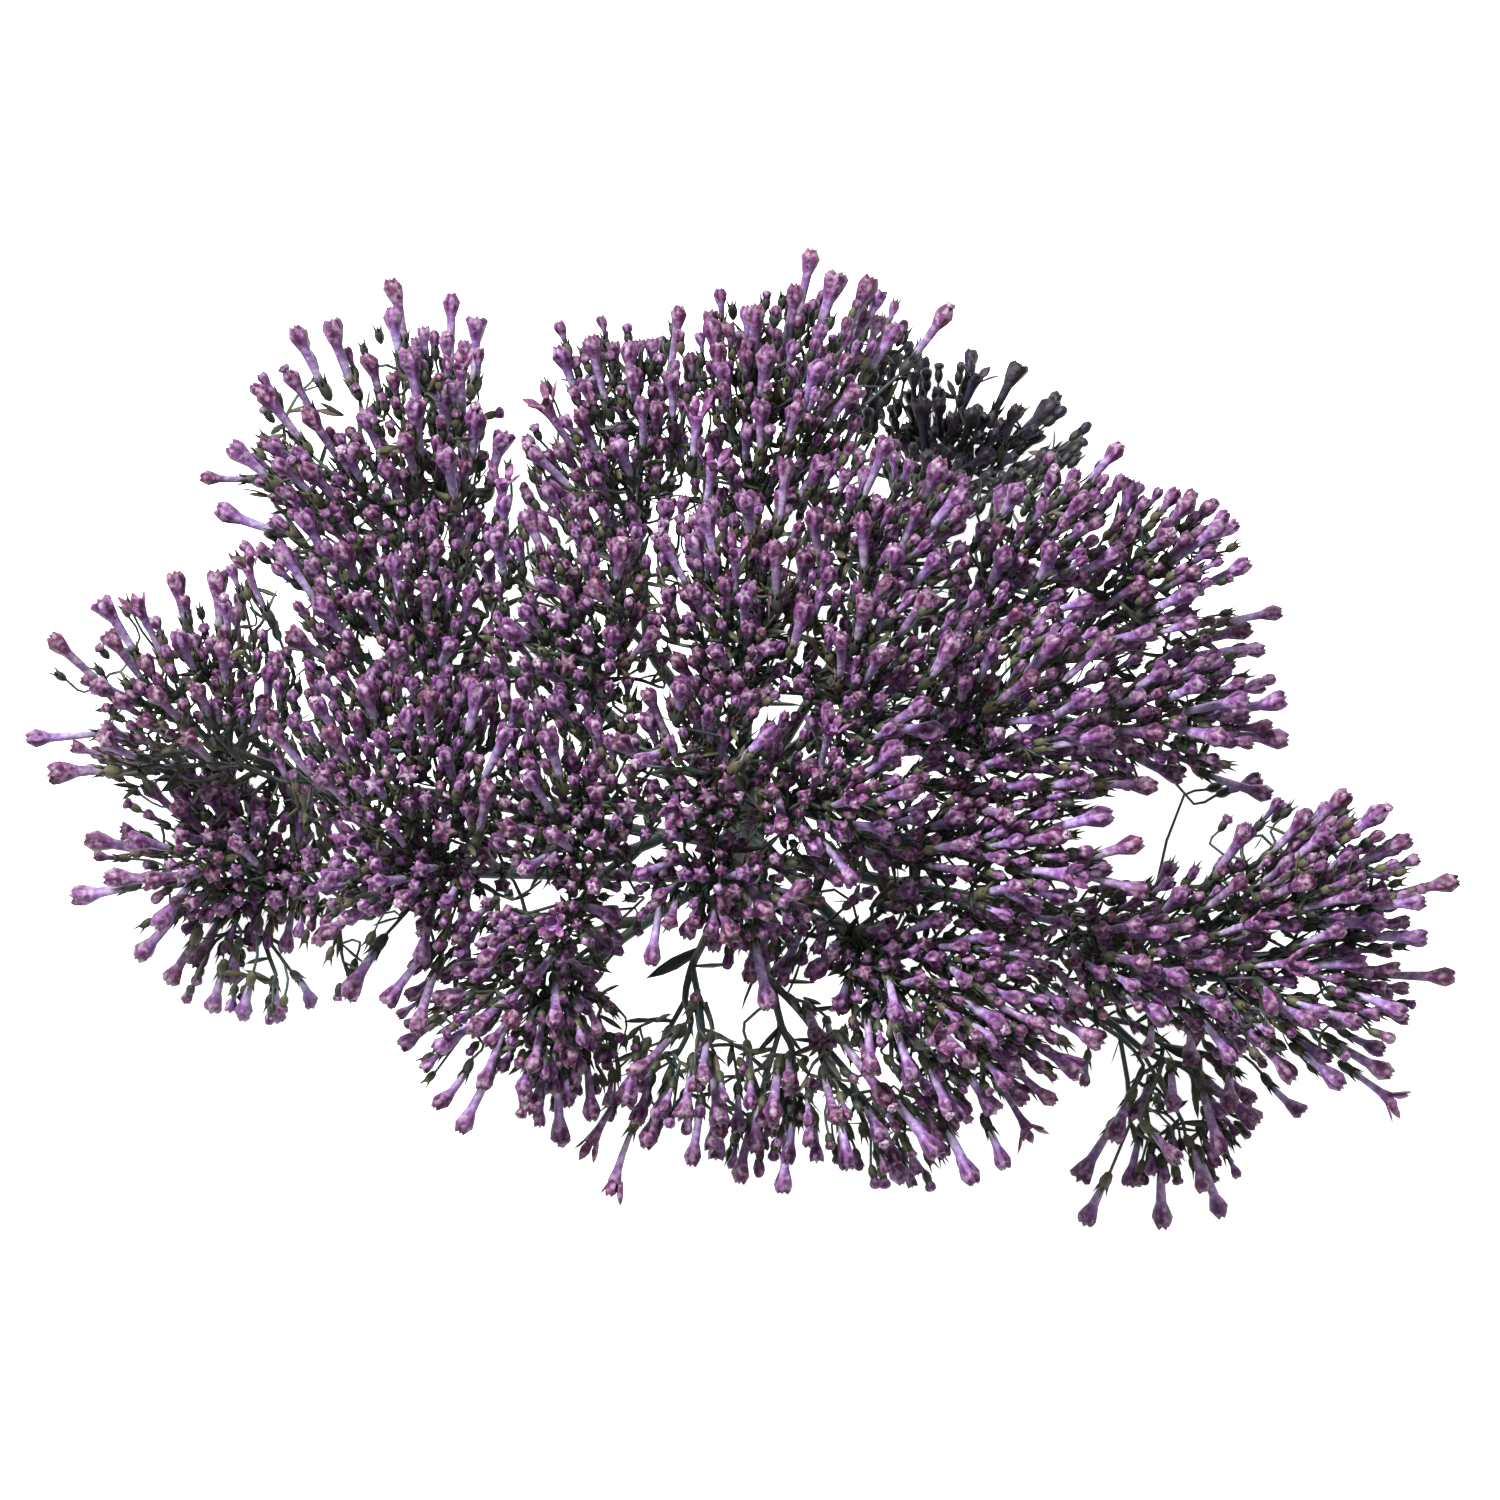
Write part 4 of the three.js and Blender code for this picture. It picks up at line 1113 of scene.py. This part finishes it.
def headRods(head):
    foot, tip, size = head["foot"], head["tip"], head["size"]
    reach = length(tip - foot)
    way = (tip - foot) / reach
    if head["kind"] == "bud":
        return [(foot, 0.25), (foot + way * reach * 0.5, 0.45), (tip - way * 0.4, 0.6 * size)]
    cap = min(2.4 * size, reach * 0.5)
    return [
        (foot, 0.25), (foot + way * 1.4 * size, 0.5 * size), (foot + way * (reach - cap), 0.4 * size),
        (foot + way * (reach - cap * 0.35), 0.98 * size), (tip - way * 0.3 * size, 0.6 * size),
    ]


rods["count"] = 0
for head in heads:
    addRods(rodsOf(headRods(head), head["owner"]))


def hasRoom(made):
    a, b, r = grownRods()[:3]
    halves = np.sqrt(((b - a) ** 2).sum(-1)) / 2
    for start, end, radius, owner, tip in made:
        away = np.sqrt((((a + b) - (start + end)) ** 2).sum(-1)) / 2
        near = away < halves + length(end - start) / 2 + r + radius + 0.2
        if near.any():
            apart = segmentDistances(start[None], end[None], a[near], b[near])
            if (apart < radius + r[near] + fine["room"]).any():
                return False
    return True


def placeExtras(seed, spacing, lower):
    # an even spread of smaller tips over the patches and between them
    draw = makeDraw(seed)
    extras = []
    for x, y in spreadPlaces(draw, spacing, fine["jitter"]):
        depth, pick, size = draw(), draw(), draw()
        rise = between(lower, depth)
        near = nearestPatches(x, y)
        isThin = inGap(thinPlaces, x, y) and size > fine["thinShare"]
        isOutside = not isWithin(near, fine["within"]) and not inGap(fullPlaces, x, y)
        if isOutside or isThin or inGap(openPlaces, x, y):
            continue
        best, following = near[:2]
        tip = tipOn(best[2], x, y, rise)
        other = tipOn(following[2], x, y, rise)
        share = min(0.5, max(0, 1.2 - 0.7 * following[0] / max(0.3, best[0])))
        tip["way"] = unit(tip["way"] * (1 - share) + other["way"] * share)
        tip["p"][2] = max(fine["lowestTip"], tip["p"][2] * (1 - share) + other["p"][2] * share)
        extras.append((tip, pick, size, max(0, min(1, -rise / 9))))
    return extras


def keptUp(way, most):
    # the way, laid flatter where it rises more than there is room for below its end
    if way[2] <= most:
        return way
    flat = unit(np.array([way[0], way[1], 0.0]))
    most = max(0, most)
    return flat * math.sqrt(1 - most * most) + np.array([0, 0, most])


def stalkCosts(apart, ways):
    # how poorly a stalk would span each of these distances to feet that point these ways
    far = np.sqrt((apart * apart).sum(-1)) + 1e-6
    forward = (apart * ways).sum(-1) / far
    return far * (1 + 0.9 * (1 - forward)) + np.where(forward < 0.25, 30, 0)


draw = makeDraw(67)
waiting = []
upper = placeExtras(41, fine["spacing"], fine["lower"])
for tip, pick, sizePick, depth in upper + placeExtras(43, fine["lowSpacing"], fine["lowest"]):
    florets = np.array([head["tip"] for head in heads if head["kind"] == "floret"])
    nearest = np.sqrt(((florets[:, :2] - tip["p"][:2]) ** 2).sum(-1)).min()
    kind = "young" if pick < fine["youngShare"] else "bud"
    if depth > fine["budDepth"]:
        kind = "bud"
    elif nearest > fine["floretApart"]:
        kind = "floret"
    total = between(fine[kind + "Length"], sizePick)
    size = between(fine[kind + "Size"], sizePick)
    for attempt in range(fine["attempts"]):
        nudge = np.array([draw() - 0.5, draw() - 0.5, -0.6 * draw()]) * attempt * 0.8
        end = tip["p"] + nudge
        way = keptUp(tip["way"], (end[2] - fine["lowestTip"]) / total)
        foot = end - way * total
        head = {"kind": kind, "foot": foot, "tip": end, "size": size, "way": way, "depth": depth}
        if min(head["foot"][2], end[2]) < 1.2:
            break
        made = rodsOf(headRods(head), 0)
        if hasRoom(made):
            addRods(made)
            waiting.append(head)
            break
    if waiting and kind == "floret" and waiting[-1] is head:
        heads.append(head)
heads = [head for head in heads if "joint" in head]
print("heads to add:", len(waiting))

places = np.array(joints["p"])
costs = np.full(len(waiting), 1e9)
parents = np.zeros(len(waiting), int)
openIds = np.nonzero(joints["open"])[0]
for i, head in enumerate(waiting):
    fit = stalkCosts(head["foot"] - places[openIds], head["way"])
    costs[i], parents[i] = fit.min(), openIds[fit.argmin()]
feetPlaces = np.array([head["foot"] for head in waiting])
ways = np.array([head["way"] for head in waiting])
for turn in range(len(waiting)):
    i = int(costs.argmin())
    if costs[i] > fine["farthest"]:
        break
    head, parent = waiting[i], int(parents[i])
    start, foot = joints["p"][parent], head["foot"]
    far = length(foot - start)
    owner = joints["owner"][parent]
    bend = foot - head["way"] * min(fine["bend"][0], far * fine["bend"][1])
    first = len(joints["p"])
    joint = parent
    if far > fine["longStalk"]:
        joint = addLine(bend, parent, owner, True, fine["stalkStep"])
    joint = addJoint(foot, joint, owner, False)
    head.update(owner=owner, joint=joint)
    heads.append(head)
    costs[i] = 1e9
    left = np.nonzero(costs < 1e8)[0]
    for made in range(first, joint):
        fit = stalkCosts(feetPlaces[left] - joints["p"][made], ways[left])
        better = fit < costs[left]
        costs[left[better]] = fit[better]
        parents[left[better]] = made
print("heads:", len(heads))

# How much each joint carries gives its radius.
carried = np.zeros(len(joints["p"]))
loads = {"floret": 1, "young": 0.7, "bud": 0.5}
for head in heads:
    carried[head["joint"]] += loads[head["kind"]]
followers = [[] for place in joints["p"]]
for i in range(len(joints["p"]) - 1, -1, -1):
    if joints["parent"][i] >= 0:
        carried[joints["parent"][i]] += carried[i]
        followers[joints["parent"][i]].append(i)


def fineRadius(load):
    return fine["twigRadius"] * max(0.5, load) ** fine["twigGrowth"]


stalks = [[] for spray in sprays]


def followStalk(start, chain):
    while True:
        nexts = [i for i in followers[start] if carried[i] > 0]
        if not nexts:
            break
        nexts.sort(key=lambda i: -carried[i])
        for other in nexts[1:]:
            followStalk(other, [(joints["p"][start], fineRadius(carried[other]))])
        if len(nexts) == 1 and joints["straight"][start] and len(chain) > 1:
            chain.pop()
        start = nexts[0]
        chain.append((joints["p"][start], fineRadius(carried[start])))
    if len(chain) > 1:
        stalks[joints["owner"][start]].append(([p for p, r in chain], [r for p, r in chain]))


for foot in feet:
    followStalk(foot, [(joints["p"][foot], fineRadius(carried[foot]) * 1.15)])

leafLook = {
    "reach": (1.5, 3.1),
    "perLoad": 0.5,          # longer where the fork carries more
    "width": (0.28, 0.46),
    "curl": 0.5,
}
leaves = []      # every bract and bractlet: spray, foot, way, length, width
draw = makeDraw(83)
for i, place in enumerate(joints["p"]):
    nexts = [j for j in followers[i] if carried[j] > 0]
    if len(nexts) < 2:
        continue
    way = unit(sum((wayBetween(place, joints["p"][j]) for j in nexts), np.zeros(3)))
    for side in range(1 + int(2 * draw())):
        turn = draw() * 2 * math.pi
        across = unit(np.array([math.cos(turn), math.sin(turn), 0.2]))
        reach = between(leafLook["reach"], draw()) + leafLook["perLoad"] * math.log2(1 + carried[i])
        width = between(leafLook["width"], draw())
        leaves.append((joints["owner"][i], place, unit(way * 0.8 + across), reach, width))
for owner, found in enumerate(bracts):
    if found:
        leaves.append((owner, found[0], found[1], bractSize["length"], bractSize["shownWidth"]))
print("leaves:", len(leaves))


# The copies

def turnedTo(way, roll):
    # the turn that brings +Z to way, after a roll about +Z
    rotation = Vector((0, 0, 1)).rotation_difference(Vector(way)).to_matrix()
    return np.array(rotation @ Matrix.Rotation(roll, 3, "Z"))


def copyShape(shape, places, tint, paintedShade=0):
    # a copy with its own mesh, with its corners at the given places in mm, darkened by painted shade as much
    # as given
    mesh = shape.data.copy()
    places[:, 2] = np.maximum(places[:, 2], 0)
    mesh.vertices.foreach_set("co", (places * mm).astype(np.float32).ravel())
    look = np.zeros(len(places) * 4, np.float32)
    mesh.attributes["look"].data.foreach_get("color", look)
    look = look.reshape(-1, 4)
    look[:, 2] = tint
    # the last channel keeps the share of light that the painted shade leaves
    look[:, 3] = 1 - paintedShade
    mesh.attributes["look"].data.foreach_set("color", look.ravel())
    copy = bpy.data.objects.new(shape.name + "Copy", mesh)
    bpy.context.scene.collection.objects.link(copy)
    return copy


def cornersOf(shape):
    corners = np.zeros(len(shape.data.vertices) * 3, np.float32)
    shape.data.vertices.foreach_get("co", corners)
    return corners.reshape(-1, 3).astype(float)


templates = (club, youngClub, throat, blade, lobe, ovary, youngOvary, knob, stigma)
corners = {shape.name: cornersOf(shape) for shape in templates}


def bowed(places, reach, bow):
    share = np.clip(places[:, 2] / reach, 0, 1)
    bent = places.copy()
    bent[:, 0] += bow * 4 * share * (1 - share)
    return bent


def addBlade(foot, way, roll, reach, width, curl, tint):
    places = corners["blade"] * [width, width, reach]
    share = places[:, 2] / reach
    places[:, 1] += curl * share * share
    return copyShape(blade, places @ turnedTo(way, roll).T + foot, tint)


floretLook = {
    "bow": 0.9,              # how far a floret bends sideways, in mm
    "cupTop": 1.75,          # where the tube leaves the ovary
    "headRise": 2.7,         # from the neck of the club to the tip
    "lobesApart": (0.72, 1.34),
    "lobeSize": (0.55, 0.6, 1.7),
    "lobeRoot": (0.68, 1.25),
    "lobeCurl": 0.09,
    "stigmaSize": (1.15, 1.15, 0.8),
    # painted shade: deepShade is how much darker the deepest are painted, and it also adds to how many of
    # their buds are bare; shadeSpray is the spray painted dark all over
    "deepShade": 0.4,        # how much darker the deepest are
    "shadeSpray": "low_back",
}
draw = makeDraw(977)


def addLobes(place, flowers, wide, top, tint):
    # the five spread lobes of an open floret
    spreadOut = 0.1 + 0.45 * draw()
    out, rise = floretLook["lobeRoot"]
    for i in range(5):
        turn = i * 2 * math.pi / 5 + 0.3 * draw()
        lean = spreadOut * (0.8 + 0.5 * draw())
        way = np.array([math.cos(turn) * math.sin(lean), math.sin(turn) * math.sin(lean), math.cos(lean)])
        root = np.array([math.cos(turn) * out * wide, math.sin(turn) * out * wide, top + rise * wide])
        across, thick, least = floretLook["lobeSize"]
        made = corners["lobe"] * [across, thick, least + 0.8 * draw()]
        made[:, 1] -= floretLook["lobeCurl"] * made[:, 2] ** 2
        flowers.append(place(lobe, made @ turnedTo(way, turn + math.pi / 2).T + root, tint))


def addFloret(head, flowers, greens):
    foot, size, depth = head["foot"], head["size"], head.get("depth", 0)
    reach = length(head["tip"] - foot)
    turned = turnedTo((head["tip"] - foot) / reach, draw() * 2 * math.pi)
    tint, bow, lot = draw(), (draw() - 0.5) * floretLook["bow"], draw()
    isLarge, isBud = head["kind"] == "floret", head["kind"] == "bud"
    # painted shade: the shaded spray is darkened fully, the others the more the deeper they grow
    isShaded = sprays[head["owner"]][0] == floretLook["shadeSpray"]
    paintedShade = 1 if isShaded else floretLook["deepShade"] * depth

    def place(shape, made, tone):
        return copyShape(shape, made @ turned.T + foot, tone, paintedShade)

    green = 1.05 * size if isLarge else (0.66 + 0.28 * size) * (0.9 if isBud else 1)
    cup = ovary if isLarge else youngOvary
    greens.append(place(cup, bowed(corners[cup.name] * green, reach, bow if isLarge else 0), draw()))
    start = floretLook["cupTop"] * green
    if isBud:
        if lot > fine["bareShare"] + floretLook["deepShade"] * depth:
            wide = 0.85 + 0.35 * draw()
            stretch = max(0.5, (reach - start) / knobLook["length"])
            flowers.append(place(knob, corners["knob"] * [wide, wide, stretch] + [0, 0, start], tint))
        return
    isOpen = isLarge and lot < fine["openShare"]
    shape = throat if isOpen else club if isLarge else youngClub
    wide = size * (0.9 + 0.22 * draw())
    tube = max(0.5, reach - start - floretLook["headRise"] * wide)
    neck = clubLook["neck"]
    made = corners[shape.name].copy()
    if not isOpen:
        made[made[:, 2] > clubLook["lip"], :2] *= between(floretLook["lobesApart"], draw() ** 2.5)
    high = made[:, 2] > neck
    made[:, 2] = np.where(high, tube + (made[:, 2] - neck) * wide, made[:, 2] / neck * tube) + start
    made[:, :2] *= wide
    flowers.append(place(shape, bowed(made, reach, bow if isLarge else bow * 0.4), tint))
    if isOpen:
        addLobes(place, flowers, wide, start + tube, 0.6 + 0.4 * tint)
    if isLarge and lot > 1 - fine["styleShare"]:
        out = 0.25 * draw()
        flowers.append(place(stigma, corners["stigma"] * floretLook["stigmaSize"] + [0, 0, reach + out], 0))


def joinAll(parts, name):
    bpy.ops.object.select_all(action="DESELECT")
    for part in parts:
        part.select_set(True)
    bpy.context.view_layer.objects.active = parts[0]
    bpy.ops.object.join()
    joined = bpy.context.object
    joined.name = name
    joined.data.name = name
    return joined


def tubesOf(chains, name, smoothness=1):
    # smooth round stalks through the places of the chains
    line = bpy.data.curves.new(name, "CURVE")
    line.dimensions = "3D"
    line.bevel_depth = mm
    line.bevel_resolution = smoothness
    line.resolution_u = 2 + smoothness
    line.use_fill_caps = True
    for places, radii in chains:
        spline = line.splines.new("BEZIER")
        spline.bezier_points.add(len(places) - 1)
        for point, place, radius in zip(spline.bezier_points, places, radii):
            low = radius if place[2] > 0 else place[2]
            point.co = Vector((place[0], place[1], max(place[2], low))) * mm
            point.radius = radius
            point.handle_left_type = point.handle_right_type = "AUTO"
    tubes = bpy.data.objects.new(name, line)
    bpy.context.scene.collection.objects.link(tubes)
    bpy.ops.object.select_all(action="DESELECT")
    tubes.select_set(True)
    bpy.context.view_layer.objects.active = tubes
    bpy.ops.object.convert(target="MESH")
    tubes = bpy.context.object
    bpy.ops.object.shade_smooth()
    tubes.data.materials.append(stalkPaint)
    tubes.data.attributes.new("look", "FLOAT_COLOR", "POINT")
    return tubes


def finishPiece(piece, node):
    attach(piece, "root")
    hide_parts(node)
    print(piece.name, sum(len(face.vertices) - 2 for face in piece.data.polygons), "triangles")


for owner, spray in enumerate(sprays):
    name = spray[0]
    flowers, greens = [], []
    for head in heads:
        if head["owner"] == owner:
            addFloret(head, flowers, greens)
    for leafOwner, foot, way, reach, width in leaves:
        if leafOwner == owner:
            curl = (draw() - 0.5) * leafLook["curl"] * reach
            greens.append(addBlade(foot, way, draw() * 6.28, reach, width, curl, draw()))
    thick = [chain for chain in stalks[owner] if max(chain[1]) > fine["thinRadius"]]
    thin = [chain for chain in stalks[owner] if max(chain[1]) <= fine["thinRadius"]]
    greens += [tubesOf(thick, name + "_thick"), tubesOf(thin, name + "_thin", 0)]
    finishPiece(joinAll(greens[::-1], name + "_stalks"), "spray_" + name)
    finishPiece(joinAll(flowers, name + "_florets"), "spray_" + name)


# The cut stem
stemLook = {"radius": (2.0, 1.4), "smoothness": 3}
stemPlaces = [stemAt(i / 7) for i in range(8)]
stemRadii = [between(stemLook["radius"], i / 7) for i in range(8)]
stemTube = tubesOf([(stemPlaces, stemRadii)], "stem_stub", stemLook["smoothness"])
bpy.ops.object.mode_set(mode="EDIT")
bpy.ops.mesh.select_all(action="SELECT")
bpy.ops.mesh.bisect(plane_co=(0, 0, 0), plane_no=(0, 0, 1), use_fill=True, clear_inner=True)
bpy.ops.object.mode_set(mode="OBJECT")
finishPiece(stemTube, "stem")

for shape in templates:
    bpy.data.objects.remove(shape)
